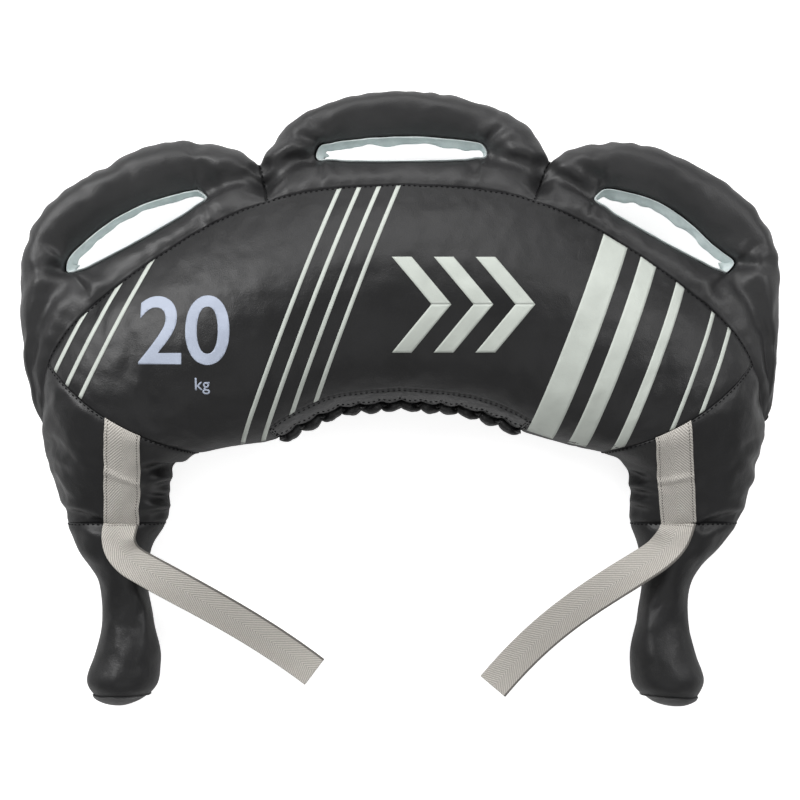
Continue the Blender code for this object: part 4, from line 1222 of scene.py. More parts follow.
@dataclass
class TailStrap:
    """A strap's free tail: it leaves the waist, turns inward over the grip and falls to the floor."""

    surface: Surface
    root: tuple[float, float, float]
    foot: Array
    sign: float
    start_turn: float
    turn: float
    end_turn: float
    length: float
    width: float = 0.030
    thickness: float = 0.0016
    bevel: float = 0.0003
    bend_length: float = 0.0485
    flat_lead: float = 0.012
    hinge_length: float = 0.014
    fall_power: float = 1.15
    twist: float = 0.40
    twist_start: float = 0.010
    twist_reach: float = 0.022
    wave_height: float = 0.0003
    wave_pitch: float = 0.021
    gap: float = 0.0006
    smoothing: int = 20
    steps: int = 110
    columns: int = 16

    def build(self, name: str) -> Item:
        """Carry the strap's width along its line, rolled a little to one side where it turns.

        It starts at the heights of the sewn strap's foot and rises wherever the grip is higher.
        """
        at = np.linspace(0.0, self.length, self.steps + 1)
        straightened = ease((at - self.bend_length) / (self.length - self.bend_length))
        heading = mix(self.start_turn, self.turn, ease(at / self.bend_length))
        heading = heading - (self.turn - self.end_turn) * straightened
        way = np.stack([-self.sign * np.sin(heading), -np.cos(heading)], axis=-1)
        step = self.length / self.steps
        plan = np.array(self.root[:2]) + np.concatenate([[[0.0, 0.0]], np.cumsum(way[1:] * step, axis=0)])
        drop = ease((at - self.flat_lead) / (self.length - self.flat_lead)) ** self.fall_power
        height = mix(self.root[2] - self.thickness, FLOOR_GAP, drop)
        square = heading * ease(at / self.flat_lead)
        side = np.stack([np.cos(square), -self.sign * np.sin(square)], axis=-1)
        turning = hill(at - 0.75 * self.bend_length, 0.9 * self.bend_length)
        roll = self.twist * turning * ease((at - self.twist_start) / self.twist_reach)
        u = np.linspace(-1.0, 1.0, self.columns + 1)[None, :]
        half = self.width / 2
        flat = plan[:, None] + side[:, None] * (u * half * np.cos(roll)[:, None])[..., None]
        z = height[:, None] + self.sign * u * half * np.sin(roll)[:, None]
        wave = self.wave_height * np.sin(at / self.wave_pitch) * (1.0 - drop)
        z = np.maximum(z, FLOOR_GAP) + wave[:, None]
        points = np.concatenate([flat, z[..., None]], axis=-1)
        points[..., 2] += (self.foot - points[0, :, 2]) * (1.0 - ease(at / self.hinge_length))[:, None]
        points[..., 2] += self.clearance(points)
        item = new_object(name, points.reshape(-1, 3), grid_faces(*points.shape[:2])[:, ::-1])
        along = np.broadcast_to(at[:, None], points.shape[:2])
        with_weave(item, np.broadcast_to((u + 1.0) * half, points.shape[:2]), along)
        thickened(item, self.thickness, self.bevel)
        self.grid = points
        return item

    def clearance(self, points: Array) -> Array:
        """Return how far each point has to rise to lie over the grip, smoothed along the strap."""
        ground = self.surface.drop(points.reshape(-1, 3)).reshape(points.shape)
        short = np.maximum(ground[..., 2] + self.gap - points[..., 2], 0.0)
        wide = np.broadcast_to(short.max(axis=1, keepdims=True), short.shape)
        return np.maximum(smoothed(wide, self.smoothing), short)


@dataclass
class SlotLining:
    """The pale cloth tunnel through one hand slot."""

    cover: Cover
    name: str
    slack: float
    rings: int = 22
    overrun: float = 1.03
    inward: float = 0.0012
    fold_depth: float = 0.0022
    end_slack: float = 0.0085
    crumple: float = 0.0012
    end_crumple: float = 0.0055
    tuck: float = 0.0016
    lip: float = 0.0018
    lip_reach: float = 0.05
    thickness: float = 0.0006
    station_reach: float = 0.22
    sides = {"left": -1.0, "centre": 0.0, "right": 1.0}
    outward_ways = {"left": (0.906, 0.42), "centre": (1.0, 0.0), "right": (-0.906, 0.42)}

    def loops(self) -> tuple[Array, Array]:
        """Return the slot's front and back edge as closed loops of matching points."""
        net = self.cover.net
        centre = self.sides[self.name] * net.shape.side_slot
        near = np.abs(net.rim_stations - centre) < self.station_reach
        found = []
        for grid in ("rim_front", "rim_back"):
            lower, upper = net.numbers[grid][:, net.band_rows:net.band_rows + 2].T
            columns = np.flatnonzero((lower != upper) & near)
            first, last = columns[0] - 1, columns[-1] + 1
            loop = np.concatenate([lower[first:last + 1], upper[last - 1:first:-1]])
            found.append(self.cover.points[loop])
        return found[0], found[1]

    def build(self) -> Item:
        """Carry the loop from the front edge to the back edge, with soft folds between.

        The wall is the straight way between the edges, drawn in towards the slot's middle by uneven
        ripples. It shows as a low lip at the front edge, and is tucked under the cover at the back.
        """
        front, back = self.loops()
        v = np.linspace(0.0, self.overrun, self.rings + 1)[:, None, None]
        wall = mix(front[None], back[None], v)
        middle = wall.mean(axis=1, keepdims=True)
        along = unit(np.roll(wall, -1, axis=1) - np.roll(wall, 1, axis=1))
        towards = unit(np.stack([along[..., 1], -along[..., 0], np.zeros(along.shape[:2])], axis=-1))
        towards = towards * np.sign(np.sum((middle - wall) * towards, axis=(1, 2), keepdims=True))
        between = np.sin(math.pi * np.clip(v, 0.0, 1.0))
        fold = 0.5 + 0.5 * ripples(wall * np.array([1.0, 1.0, 0.35]), 11, 0.03, 2)[..., None]
        upper = np.maximum(-towards[..., 1:2], 0.0)
        outward = np.array(self.outward_ways[self.name])
        end = np.maximum(towards[..., :2] @ outward, 0.0)[..., None] ** 2
        slack = self.inward + self.fold_depth * fold + self.slack * upper * (0.6 + 0.6 * fold)
        slack = slack + self.end_slack * end
        crumple = ripples(wall * np.array([1.0, 1.0, 0.5]), 17, 0.011, 2)[..., None]
        crumple = (self.end_crumple * end + self.crumple) * crumple
        lip = hill(v, self.lip_reach)
        wall = wall + towards * (between * slack + between * crumple)
        wall = wall - towards * self.tuck * (1.0 - between) * (1.0 - lip) + towards * self.lip * lip
        wall[..., 2:3] += 0.6 * self.lip * lip
        rows, columns = wall.shape[:2]
        closed = np.concatenate([wall, wall[:, :1]], axis=1)
        name = "slot_lining_%s_cloth" % self.name
        item = new_object(name, closed.reshape(-1, 3), grid_faces(rows, columns + 1))
        self.girth = float(np.linalg.norm(np.diff(closed, axis=1), axis=-1)[0].sum())
        self.depth = float(np.linalg.norm(np.diff(wall, axis=0), axis=-1).sum(axis=0).mean())
        reshape(item, lambda shape: bmesh.ops.remove_doubles(shape, verts=shape.verts, dist=1e-6))
        modify(item, "finer", "SUBSURF", levels=1, render_levels=1)
        modify(item, "thickness", "SOLIDIFY", thickness=self.thickness, offset=0.0)
        return item


@dataclass
class NeckHem:
    """The gathered hem under the neck band: a row of soft rolls of glossy cloth."""

    cover: Cover
    full_radius: float = 0.0060
    pinched_radius: float = 0.0012
    share_of_neck: float = 0.985
    slant: float = 0.75
    crumple: float = 0.0004
    crumple_shift: float = 0.004
    hang: float = 0.002
    flattening: float = 1.5
    steps_per_roll: int = 20
    sides: int = 20

    def build(self) -> Item:
        """Carry a ring along the neck edge: its radius swells over each roll and is pinched between.

        The swell is a power of a sine's size, uneven from roll to roll. Its phase shifts round the
        ring, so that the rolls slant as gathered cloth does.
        """
        net = self.cover.net
        inside = np.abs(net.stations) <= net.shape.neck_end * self.share_of_neck
        edge = self.cover.points[net.numbers["front"][inside, 0]]
        length = reach_along(edge)
        count = net.hem_rolls * self.steps_per_roll
        line = points_at(edge, length, np.linspace(0.0, length[-1], count + 1))
        along = unit(np.gradient(line, axis=0))
        away = unit(np.stack([along[:, 1], -along[:, 0], np.zeros(count + 1)], axis=-1))
        up = np.cross(along, away) * np.sign(np.cross(along, away)[:, 2:3])
        turn = np.linspace(0.0, 2 * math.pi, self.sides, endpoint=False)[None, :]
        phase = net.hem_phase(line)[:, None] + self.slant * np.sin(turn) * np.sign(line[:, 0:1])
        swell = np.abs(np.sin(phase)) ** 0.75 * (1.0 + 0.15 * np.sin(2.7 * phase + 1.0))
        radius = mix(self.pinched_radius, self.full_radius, swell)
        ring = line[:, None] + self.crumple_shift * np.cos(turn)[..., None]
        radius = radius + self.crumple * ripples(ring, 23, self.full_radius, 2)
        middle = line + away * (self.full_radius * 0.40)
        points = middle[:, None] + away[:, None] * (radius * np.cos(turn))[..., None]
        points = points + up[:, None] * (radius * np.sin(turn) * self.flattening)[..., None]
        points[..., 2] -= self.hang
        walls = grid_faces(count + 1, self.sides + 1)
        row, column = np.divmod(walls, self.sides + 1)
        walls = row * self.sides + column % self.sides
        item = new_object("neck_hem_cloth", points.reshape(-1, 3), walls)
        reshape(item, self.close_ends)
        self.length = float(length[-1])
        self.depth = float(math.pi * radius.mean() * 1.1)
        modify(item, "finer", "SUBSURF", levels=1, render_levels=1)
        return item

    def close_ends(self, shape: bmesh.types.BMesh) -> None:
        """Close both ends of the row with a face, and turn every face outward."""
        shape.verts.ensure_lookup_table()
        for first in (0, len(shape.verts) - self.sides):
            shape.faces.new(shape.verts[first:first + self.sides])
        bmesh.ops.recalc_face_normals(shape, faces=shape.faces)


@dataclass
class StrapFace:
    """The upper face of a laid strap, read by the stitches."""

    grid: Array
    thickness: float

    def line(self, inset: float, width: float) -> Array:
        """Return a line along the strap, at an inset from its first edge."""
        u = inset / width * (self.grid.shape[1] - 1)
        low = int(u)
        return mix(self.grid[:, low], self.grid[:, low + 1], u - low)

    def snap(self, points: Array) -> tuple[Array, Array]:
        """Return the points raised to the strap's upper face, and the ways up from it."""
        along, across = np.gradient(self.grid, axis=0), np.gradient(self.grid, axis=1)
        normals = unit(np.cross(along, across)).reshape(-1, 3)
        normals = normals * np.sign(normals[:, 2:3])
        flat = self.grid.reshape(-1, 3)
        near = np.argmin(np.linalg.norm(points[:, None] - flat[None], axis=-1), axis=1)
        return points + normals[near] * self.thickness, normals[near]


@dataclass
class StitchLine:
    """A row of stitches along a line on the cover or a strap."""

    surface: Surface | StrapFace
    pitch: float = 0.0048
    length: float = 0.0032
    thick: float = 0.00042
    sink: float = 0.0001
    rings: int = 5
    sides: int = 6

    def build(self, name: str, lines: list[Array]) -> Item:
        """Set one rounded dash at every pitch along the lines, lying along them.

        A dash is a tube about the line: its radius shrinks with the fourth power of the way to its
        ends, which dip into the cloth.
        """
        middles, ways = [], []
        for line in lines:
            reach = reach_along(line)
            at = np.arange(self.pitch / 2, reach[-1], self.pitch)
            ahead = points_at(line, reach, at + self.length / 2)
            behind = points_at(line, reach, at - self.length / 2)
            middles.append(points_at(line, reach, at))
            ways.append(ahead - behind)
        places, normals = self.surface.snap(np.vstack(middles))
        way = unit(np.vstack(ways))
        way = unit(way - normals * np.sum(way * normals, axis=-1, keepdims=True))
        side = np.cross(normals, way)
        u = np.linspace(-1.0, 1.0, self.rings)[:, None]
        turn = np.linspace(0.0, 2 * math.pi, self.sides, endpoint=False)[None, :]
        radius = self.thick * np.sqrt(np.maximum(1.0 - 0.9 * u**4, 0.0))
        forward = np.broadcast_to(self.length / 2 * u, (self.rings, self.sides))
        sideways = radius * np.cos(turn)
        upward = radius * np.sin(turn) + self.thick * (0.5 - 1.3 * u**2) - self.sink
        local = np.stack([forward, sideways, upward], axis=-1).reshape(-1, 3)
        frames = np.stack([way, side, normals], axis=1)
        points = places[:, None] + np.einsum("pk,nkx->npx", local, frames)
        first = (np.arange(len(places)) * len(local))[:, None, None]
        faces = self.dash_faces()[None] + first
        return new_object(name, points.reshape(-1, 3), faces.reshape(-1, 4))

    def dash_faces(self) -> Numbers:
        """Return the quads round one dash, and those that close its six-sided ends."""
        ring, side = np.divmod(np.arange((self.rings - 1) * self.sides), self.sides)
        after = (side + 1) % self.sides
        a, b = ring * self.sides + side, ring * self.sides + after
        walls = np.stack([a, b, b + self.sides, a + self.sides], axis=-1)
        end = np.array([[3, 2, 1, 0], [0, 5, 4, 3]])
        last = (self.rings - 1) * self.sides
        return np.vstack([walls, end, end[:, ::-1] + last])


@dataclass
class FrontPrint:
    """Plain stripes, arrow shapes and the weight's figures, printed on the front panel."""

    cover: Cover
    surface: Surface
    margin: float = 0.0012
    step: float = 0.0026
    stripe_steps: int = 800
    lift: float = 0.00012
    thickness: float = 0.0002

    def __post_init__(self) -> None:
        """Read the front panel's lower and upper seams in plan, in rising X."""
        net, shape = self.cover.net, self.cover.net.shape
        numbers, stations = net.numbers["front"], net.stations
        inside = np.abs(stations) <= shape.panel_end
        neck = np.where(np.abs(stations) < shape.neck_end, net.neck_rows, 0)
        lower = self.cover.points[numbers[np.arange(len(stations)), neck]][inside]
        left, right = self.cover.seam_line(-1.0), self.cover.seam_line(1.0)
        self.lower = np.vstack([left, lower, right])[:, :2]
        self.lower = self.lower[np.argsort(self.lower[:, 0], kind="stable")]
        self.upper = self.cover.points[numbers[inside, -1]][:, :2]

    def is_inside(self, points: Array) -> Flags:
        """Return which plan points lie inside the front panel's seams, with the margin."""
        low = np.interp(points[:, 0], self.lower[:, 0], self.lower[:, 1], left=1.0, right=1.0)
        high = np.interp(points[:, 0], self.upper[:, 0], self.upper[:, 1], left=-1.0, right=-1.0)
        return (points[:, 1] > low + self.margin) & (points[:, 1] < high - self.margin)

    def stripe(self, start: Pair, end: Pair, width: float) -> Array:
        """Return a straight stripe's four corners, with each side cut off at the seams."""
        low, way = np.array(start), np.array(end) - np.array(start)
        side = unit(np.array([-way[1], way[0]])) * width / 2
        share = np.linspace(0.0, 1.0, self.stripe_steps)[:, None]
        corners = []
        for shift in (side, -side):
            line = low + shift + share * way
            kept = line[self.is_inside(line)]
            corners.append((kept[0], kept[-1]))
        (a, b), (d, c) = corners
        return np.array([a, b, c, d])

    def stripes(
        self, first: float, spacing: float, widths: list[float], run: float = 0.115,
        low: float = -0.08, high: float = 0.22,
    ) -> list[Array]:
        """Return slanting stripes side by side, one for each width, from a low to a high place along Y.

        The first starts at an X, and each leans to the right by the run on its way up.
        """
        starts = [first + spacing * number for number in range(len(widths))]
        return [self.stripe((x, low), (x + run, high), width) for x, width in zip(starts, widths)]

    def arrow(self, tip: Pair, reach: float, height: float, width: float) -> list[Array]:
        """Return the two slanting arms of a plain arrow shape that points to the right."""
        x, y = tip
        arms = []
        for side in (1.0, -1.0):
            end = y + side * height / 2
            arms.append(np.array([(x, y), (x - reach, end), (x - reach - width, end), (x - width, y)]))
        return arms

    def patch(self, corners: Array) -> tuple[Array, Numbers]:
        """Return a grid over four corners: a mix along both sides, and then a mix across."""
        a, b, c, d = corners
        rows = max(2, math.ceil(float(np.linalg.norm(b - a)) / self.step) + 1)
        columns = max(2, math.ceil(float(np.linalg.norm(d - a)) / self.step) + 1)
        u = np.linspace(0.0, 1.0, rows)[:, None, None]
        v = np.linspace(0.0, 1.0, columns)[None, :, None]
        points = mix(mix(a, b, u), mix(d, c, u), v)
        return points.reshape(-1, 2), grid_faces(rows, columns)

    def lay(self, name: str, plan: Array, faces: Array | list) -> Item:
        """Return the plan's faces laid on the cover, facing up, with the ink's thickness."""
        places = self.surface.drop(plan)
        places[:, 2] += self.lift
        item = new_object(name, places, faces)
        reshape(item, turn_up)
        thickened(item, self.thickness)
        return item

    def print_patches(self, name: str, patches: list[Array]) -> Item:
        """Return one object with every patch of a colour."""
        plans, faces, first = [], [], 0
        for corners in patches:
            plan, quads = self.patch(corners)
            plans.append(plan)
            faces.append(quads + first)
            first += len(plan)
        return self.lay(name, np.vstack(plans), np.vstack(faces))

    def print_words(self, name: str, words: str, at: Pair, height: float, bold: float) -> Item:
        """Return plain figures or letters, centred on a place, of a height in metres."""
        curve = bpy.data.curves.new(name, "FONT")
        curve.body = words
        curve.offset = bold
        source = linked(name + "_curve", curve)
        flat = bpy.data.meshes.new_from_object(source.evaluated_get(bpy.context.evaluated_depsgraph_get()))
        bpy.data.objects.remove(source)
        points = read_points(flat)[:, :2]
        low, high = points.min(axis=0), points.max(axis=0)
        scale = height / (high[1] - low[1])
        plan = (points - (low + high) / 2) * scale + np.array(at)
        flat.vertices.foreach_set("co", np.column_stack([plan, np.zeros(len(plan))]).reshape(-1))
        shape = bmesh.new()
        shape.from_mesh(flat)
        bmesh.ops.remove_doubles(shape, verts=shape.verts, dist=1e-5)
        for axis, way in enumerate(np.eye(3)[:2]):
            for cut in np.arange(plan[:, axis].min() + self.step, plan[:, axis].max(), self.step):
                parts = list(shape.verts) + list(shape.edges) + list(shape.faces)
                bmesh.ops.bisect_plane(shape, geom=parts, plane_co=way * cut, plane_no=way)
        shape.verts.index_update()
        faces = [[corner.index for corner in face.verts] for face in shape.faces]
        cut_plan = np.array([tuple(corner.co) for corner in shape.verts])[:, :2]
        shape.free()
        bpy.data.meshes.remove(flat)
        return self.lay(name, cut_plan, faces)


# Finishes

class Shader:
    """A material's node tree, with short ways to add nodes and join them."""

    def __init__(self, name: str) -> None:
        """Start a material with a Principled shader."""
        self.material = bpy.data.materials.new(name)
        self.material.use_nodes = True
        self.tree = self.material.node_tree
        self.surface = self.tree.nodes["Principled BSDF"]

    def add(self, kind: str, **settings: object) -> bpy.types.Node:
        """Return a new node with some of its own settings."""
        return set_values(self.tree.nodes.new(kind), **settings)

    def feed(self, target: Socket, value: object) -> None:
        """Give a socket a number, a colour or another node's output."""
        if isinstance(value, Socket):
            self.tree.links.new(value, target)
        else:
            target.default_value = value

    def maths(self, operation: str, a: object, b: object = 0.0) -> Socket:
        """Return the result of a sum on one or two values."""
        node = self.add("ShaderNodeMath", operation=operation)
        self.feed(node.inputs[0], a)
        self.feed(node.inputs[1], b)
        return node.outputs[0]

    def between(self, share: object, a: object, b: object) -> Socket:
        """Return a colour between two colours."""
        node = self.add("ShaderNodeMix", data_type="RGBA")
        self.feed(node.inputs[0], share)
        self.feed(node.inputs[6], a)
        self.feed(node.inputs[7], b)
        return node.outputs[2]

    def place(self, attribute: str = "") -> Socket:
        """Return the object's own coordinates, or a UV map by name."""
        if attribute:
            return self.add("ShaderNodeUVMap", uv_map=attribute).outputs[0]
        return self.add("ShaderNodeTexCoord").outputs["Object"]

    def noise(self, at: Socket, size: float, detail: float = 3.0, rough: float = 0.5) -> Socket:
        """Return noise with patches of about a size in metres."""
        node = self.add("ShaderNodeTexNoise")
        values = (("Vector", at), ("Scale", 1.0 / size), ("Detail", detail), ("Roughness", rough))
        for key, value in values:
            self.feed(node.inputs[key], value)
        return node.outputs[0]

    def cells(self, at: Socket, size: float) -> Socket:
        """Return the distance to the middle of cells of about a size in metres."""
        node = self.add("ShaderNodeTexVoronoi")
        self.feed(node.inputs["Vector"], at)
        node.inputs["Scale"].default_value = 1.0 / size
        return node.outputs["Distance"]

    def ramp(
        self, value: object, low: float, high: float, start: float = 0.0, end: float = 1.0,
    ) -> Socket:
        """Return a value moved from the range low to high into the range start to end, and kept in it."""
        node = self.add("ShaderNodeMapRange")
        for socket, number in zip(node.inputs[:5], (value, low, high, start, end)):
            self.feed(socket, number)
        return node.outputs[0]

    def bump(self, height: object, depth: float, under: object = None) -> Socket:
        """Return a normal bent by a height field of a depth in metres."""
        node = self.add("ShaderNodeBump")
        node.inputs["Distance"].default_value = depth
        self.feed(node.inputs["Height"], height)
        if under is not None:
            self.feed(node.inputs["Normal"], under)
        return node.outputs[0]

    def finish(self, **values: object) -> bpy.types.Material:
        """Set the shader's sockets by name, with underscores for spaces, and return the material."""
        for key, value in values.items():
            self.feed(self.surface.inputs[key.replace("_", " ")], value)
        return self.material


@dataclass(frozen=True)
class CoatedFabric:
    """Black fabric with a semi-matt coating: a fine grain, faint creases and uneven shine."""

    name: str
    colour: Colour = (0.0075, 0.0075, 0.0080, 1.0)
    # The lighter colour of the random patches; the handles' and the neck band's copies raise it as painted
    # sheen.
    mottle_and_sheen: Colour = (0.014, 0.014, 0.015, 1.0)
    roughness: float = 0.40
    grain: float = 0.0011
    grain_depth: float = 0.00010
    crease: float = 0.014
    crease_depth: float = 0.0008

    def make(self) -> bpy.types.Material:
        """Return the material."""
        shader = Shader(self.name)
        at = shader.place()
        patches = shader.noise(at, 0.06, 4.0)
        grain = shader.cells(at, self.grain)
        fine = shader.noise(at, self.grain * 0.5, 2.0)
        crease = shader.noise(at, self.crease, 3.0, 0.45)
        colour = shader.between(shader.ramp(patches, 0.35, 0.75), self.colour, self.mottle_and_sheen)
        low = shader.ramp(patches, 0.3, 0.7, self.roughness - 0.05, self.roughness + 0.07)
        rough = shader.maths("ADD", low, shader.ramp(fine, 0.3, 0.7, -0.03, 0.03))
        folded = shader.bump(crease, self.crease_depth)
        pebbled = shader.bump(shader.maths("ADD", grain, fine), self.grain_depth, folded)
        return shader.finish(
            Base_Color=colour, Roughness=rough, Normal=pebbled, Specular_IOR_Level=0.42,
            Coat_Weight=0.06, Coat_Roughness=0.35,
        )


@dataclass(frozen=True)
class PrintInk:
    """Pale screen ink on the coated fabric, which shows its grain."""

    name: str
    colour: Colour
    roughness: float = 0.5

    def make(self) -> bpy.types.Material:
        """Return the material."""
        shader = Shader(self.name)
        at = shader.place()
        grain = shader.cells(at, 0.0011)
        fine = shader.noise(at, 0.0006, 2.0)
        patches = shader.noise(at, 0.03, 3.0)
        dull = tuple(0.86 * part for part in self.colour[:3]) + (1.0,)
        colour = shader.between(shader.ramp(patches, 0.3, 0.75), self.colour, dull)
        folded = shader.bump(shader.noise(at, 0.014, 3.0, 0.45), 0.0008)
        pebbled = shader.bump(shader.maths("ADD", grain, fine), 0.00006, folded)
        rough = shader.ramp(fine, 0.3, 0.7, self.roughness - 0.04, self.roughness + 0.06)
        return shader.finish(Base_Color=colour, Roughness=rough, Normal=pebbled, Specular_IOR_Level=0.4)


@dataclass(frozen=True)
class Webbing:
    """Grey herringbone webbing, which can have a painted shadow along one edge. It reads its UV map, in
    metres: across the strap, then along it.
    """

    name: str
    light: Colour = (0.82, 0.785, 0.725, 1.0)
    dark: Colour = (0.31, 0.29, 0.265, 1.0)
    # The colour of the painted shadow along a tail's edge, where its under layer lies in shade.
    ink: Colour = (0.06, 0.055, 0.05, 1.0)
    width: float = 0.030
    rib: float = 0.0030
    rib_slant: float = 1.5
    thread: float = 0.00045
    line: float = 0.0004
    # The width of the painted shadow along one edge, none if zero.
    painted_shadow_edge: float = 0.0
    bands: int = 2

    def make(self) -> bpy.types.Material:
        """Return the material: slanting ribs that turn back at each band's edge, in crossed threads."""
        shader = Shader(self.name)
        parts = shader.add("ShaderNodeSeparateXYZ")
        shader.feed(parts.inputs[0], shader.place("weave"))
        across, along = parts.outputs[0], parts.outputs[1]
        zigzag = shader.maths("PINGPONG", across, self.width / self.bands)
        slant = shader.maths("ADD", along, shader.maths("MULTIPLY", zigzag, self.rib_slant))
        rib = shader.maths("PINGPONG", shader.maths("DIVIDE", slant, self.rib / 2), 1.0)
        thread = shader.maths("PINGPONG", shader.maths("DIVIDE", across, self.thread), 1.0)
        ribs, threads = shader.maths("MULTIPLY", rib, 0.75), shader.maths("MULTIPLY", thread, 0.25)
        line = shader.ramp(zigzag, 0.0, self.line, 0.45, 1.0)
        weave = shader.maths("MULTIPLY", shader.maths("ADD", ribs, threads), line)
        fuzz = shader.noise(shader.place(), 0.0012, 4.0, 0.6)
        bright, frayed = shader.maths("MULTIPLY", weave, 0.8), shader.maths("MULTIPLY", fuzz, 0.3)
        tone = shader.maths("ADD", bright, frayed)
        colour = shader.between(shader.ramp(tone, 0.15, 0.95), self.dark, self.light)
        # A painted shadow darkens a strip along one edge: shade on the strap's under layer.
        if self.painted_shadow_edge > 0.0:
            start = self.width - self.painted_shadow_edge
            edge = shader.ramp(across, start, start + self.line, 0.0, 0.75)
            colour = shader.between(edge, colour, self.ink)
        normal = shader.bump(weave, 0.0005, shader.bump(fuzz, 0.0002))
        return shader.finish(
            Base_Color=colour, Roughness=0.85, Normal=normal, Sheen_Weight=0.15, Sheen_Roughness=0.5,
            Specular_IOR_Level=0.25,
        )


@dataclass(frozen=True)
class LiningCloth:
    """Pale woven lining of the hand slots, with its threads."""

    name: str
    colour: Colour = (0.72, 0.79, 0.785, 1.0)
    shade: Colour = (0.55, 0.62, 0.62, 1.0)
    thread: float = 0.0032

    def make(self) -> bpy.types.Material:
        """Return the material."""
        shader = Shader(self.name)
        at = shader.place()
        threads = []
        for direction in ("X", "Y"):
            node = shader.add("ShaderNodeTexWave", bands_direction=direction)
            shader.feed(node.inputs["Vector"], at)
            shader.feed(node.inputs["Scale"], 1.0 / self.thread)
            threads.append(node.outputs[1])
        weave = shader.maths("MULTIPLY", *threads)
        patches = shader.noise(at, 0.01, 4.0)
        colour = shader.between(shader.ramp(patches, 0.3, 0.7), self.colour, self.shade)
        normal = shader.bump(weave, 0.0003, shader.bump(patches, 0.001))
        return shader.finish(
            Base_Color=colour, Roughness=0.9, Normal=normal, Sheen_Weight=0.2, Specular_IOR_Level=0.2,
        )


@dataclass(frozen=True)
class Thread:
    """Twisted sewing thread."""

    name: str
    colour: Colour = (0.004, 0.004, 0.0045, 1.0)

    def make(self) -> bpy.types.Material:
        """Return the material."""
        shader = Shader(self.name)
        twist = shader.noise(shader.place(), 0.0006, 2.0)
        lighter = tuple(2.0 * part for part in self.colour[:3]) + (1.0,)
        colour = shader.between(shader.ramp(twist, 0.35, 0.65), self.colour, lighter)
        normal = shader.bump(twist, 0.0002)
        return shader.finish(Base_Color=colour, Roughness=0.8, Normal=normal, Specular_IOR_Level=0.12)


# The studio

@dataclass
class Studio:
    """The floor, the lights and the camera that looks straight down."""

    height: float = 1.85
    lens: float = 90.0
    sensor: float = 36.0
    world_light: float = 0.34
    floor_place: float = -0.0005
    floor_reach: float = 4.0
    target: tuple[float, float, float] = (0.0, 0.05, 0.05)

    def build(self) -> None:
        """Make the camera, a pale floor, the world's light and soft lamps."""
        data = bpy.data.cameras.new("camera")
        data.lens, data.sensor_width = self.lens, self.sensor
        camera = linked("camera", data)
        camera.location = (0.0, 0.0, self.height)
        bpy.context.scene.camera = camera
        self.make_floor()
        self.make_world()
        self.make_lamp("lamp_left", (-1.3, 1.0, 1.3), 1.0, 24.0)
        self.make_lamp("lamp_right", (1.5, 0.8, 1.4), 1.2, 12.0)
        self.make_lamp("lamp_top", (0.0, 1.7, 1.2), 1.4, 16.0)
        self.make_lamp("lamp_front", (0.1, -1.4, 1.9), 1.6, 4.0)
        bpy.context.scene.view_settings.view_transform = "Standard"

    def make_floor(self) -> None:
        """Make the floor, which shows white to the camera and keeps soft shadows."""
        side = np.array([-self.floor_reach, self.floor_reach])
        x, y = np.meshgrid(side, side)
        points = np.stack([x, y, np.full_like(x, self.floor_place)], axis=-1).reshape(-1, 3)
        floor = new_object("floor", points, grid_faces(2, 2)[:, ::-1])
        shader = Shader("floor_paint")
        grain = shader.ramp(shader.noise(shader.place(), 0.2, 3.0), 0.2, 0.8)
        colour = shader.between(grain, (0.86, 0.86, 0.86, 1.0), (0.9, 0.9, 0.9, 1.0))
        path = shader.add("ShaderNodeLightPath")
        glow = shader.maths("MULTIPLY", path.outputs["Is Camera Ray"], 0.75)
        floor.data.materials.append(shader.finish(
            Base_Color=colour, Roughness=0.9, Emission_Color=(1.0, 1.0, 1.0, 1.0), Emission_Strength=glow,
        ))

    def make_world(self) -> None:
        """Light the scene evenly, and show white behind the floor."""
        world = bpy.data.worlds.new("world")
        bpy.context.scene.world = world
        world.use_nodes = True
        tree = world.node_tree
        light, shown = tree.nodes["Background"], tree.nodes.new("ShaderNodeBackground")
        for background, strength in ((light, self.world_light), (shown, 1.0)):
            background.inputs[0].default_value = (1.0, 1.0, 1.0, 1.0)
            background.inputs[1].default_value = strength
        path = tree.nodes.new("ShaderNodeLightPath")
        either = set_values(tree.nodes.new("ShaderNodeMath"), operation="MAXIMUM")
        blend = tree.nodes.new("ShaderNodeMixShader")
        for source, target in (
            (path.outputs["Is Camera Ray"], either.inputs[0]),
            (path.outputs["Is Transmission Ray"], either.inputs[1]),
            (either.outputs[0], blend.inputs[0]),
            (light.outputs[0], blend.inputs[1]),
            (shown.outputs[0], blend.inputs[2]),
            (blend.outputs[0], tree.nodes["World Output"].inputs[0]),
        ):
            tree.links.new(source, target)

    def make_lamp(self, name: str, place: tuple[float, float, float], size: float, power: float) -> None:
        """Make a soft square lamp that looks at the bag."""
        data = bpy.data.lights.new(name, "AREA")
        data.size, data.energy = size, power
        lamp = linked(name, data)
        lamp.location = place
        towards = mathutils.Vector(self.target) - mathutils.Vector(place)
        lamp.rotation_euler = towards.to_track_quat("-Z", "Y").to_euler()


def dress(item: Item, material: bpy.types.Material, body: str) -> None:
    """Give a piece its material and its body, if it has only one."""
    item.data.materials.append(material)
    if body:
        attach(item, body)
    log.info("%s: %d faces, on %s", item.name, len(item.data.polygons), body)


@dataclass(frozen=True)
class StrapPlan:
    """One strap: its side, where it starts, its tail's turns in degrees and its tail's length."""

    name: str
    sign: float
    top: Pair
    turns: tuple[float, float, float]
    length: float


STRAPS = (
    StrapPlan("left", -1.0, (-0.2406, -0.0271), (-14.0, 59.5, 53.0), 0.231),
    StrapPlan("right", 1.0, (0.2371, -0.0289), (21.0, 56.5, 40.3), 0.227),
)
LINING_SLACKS = {"left": 0.0032, "centre": 0.0048, "right": 0.0062}


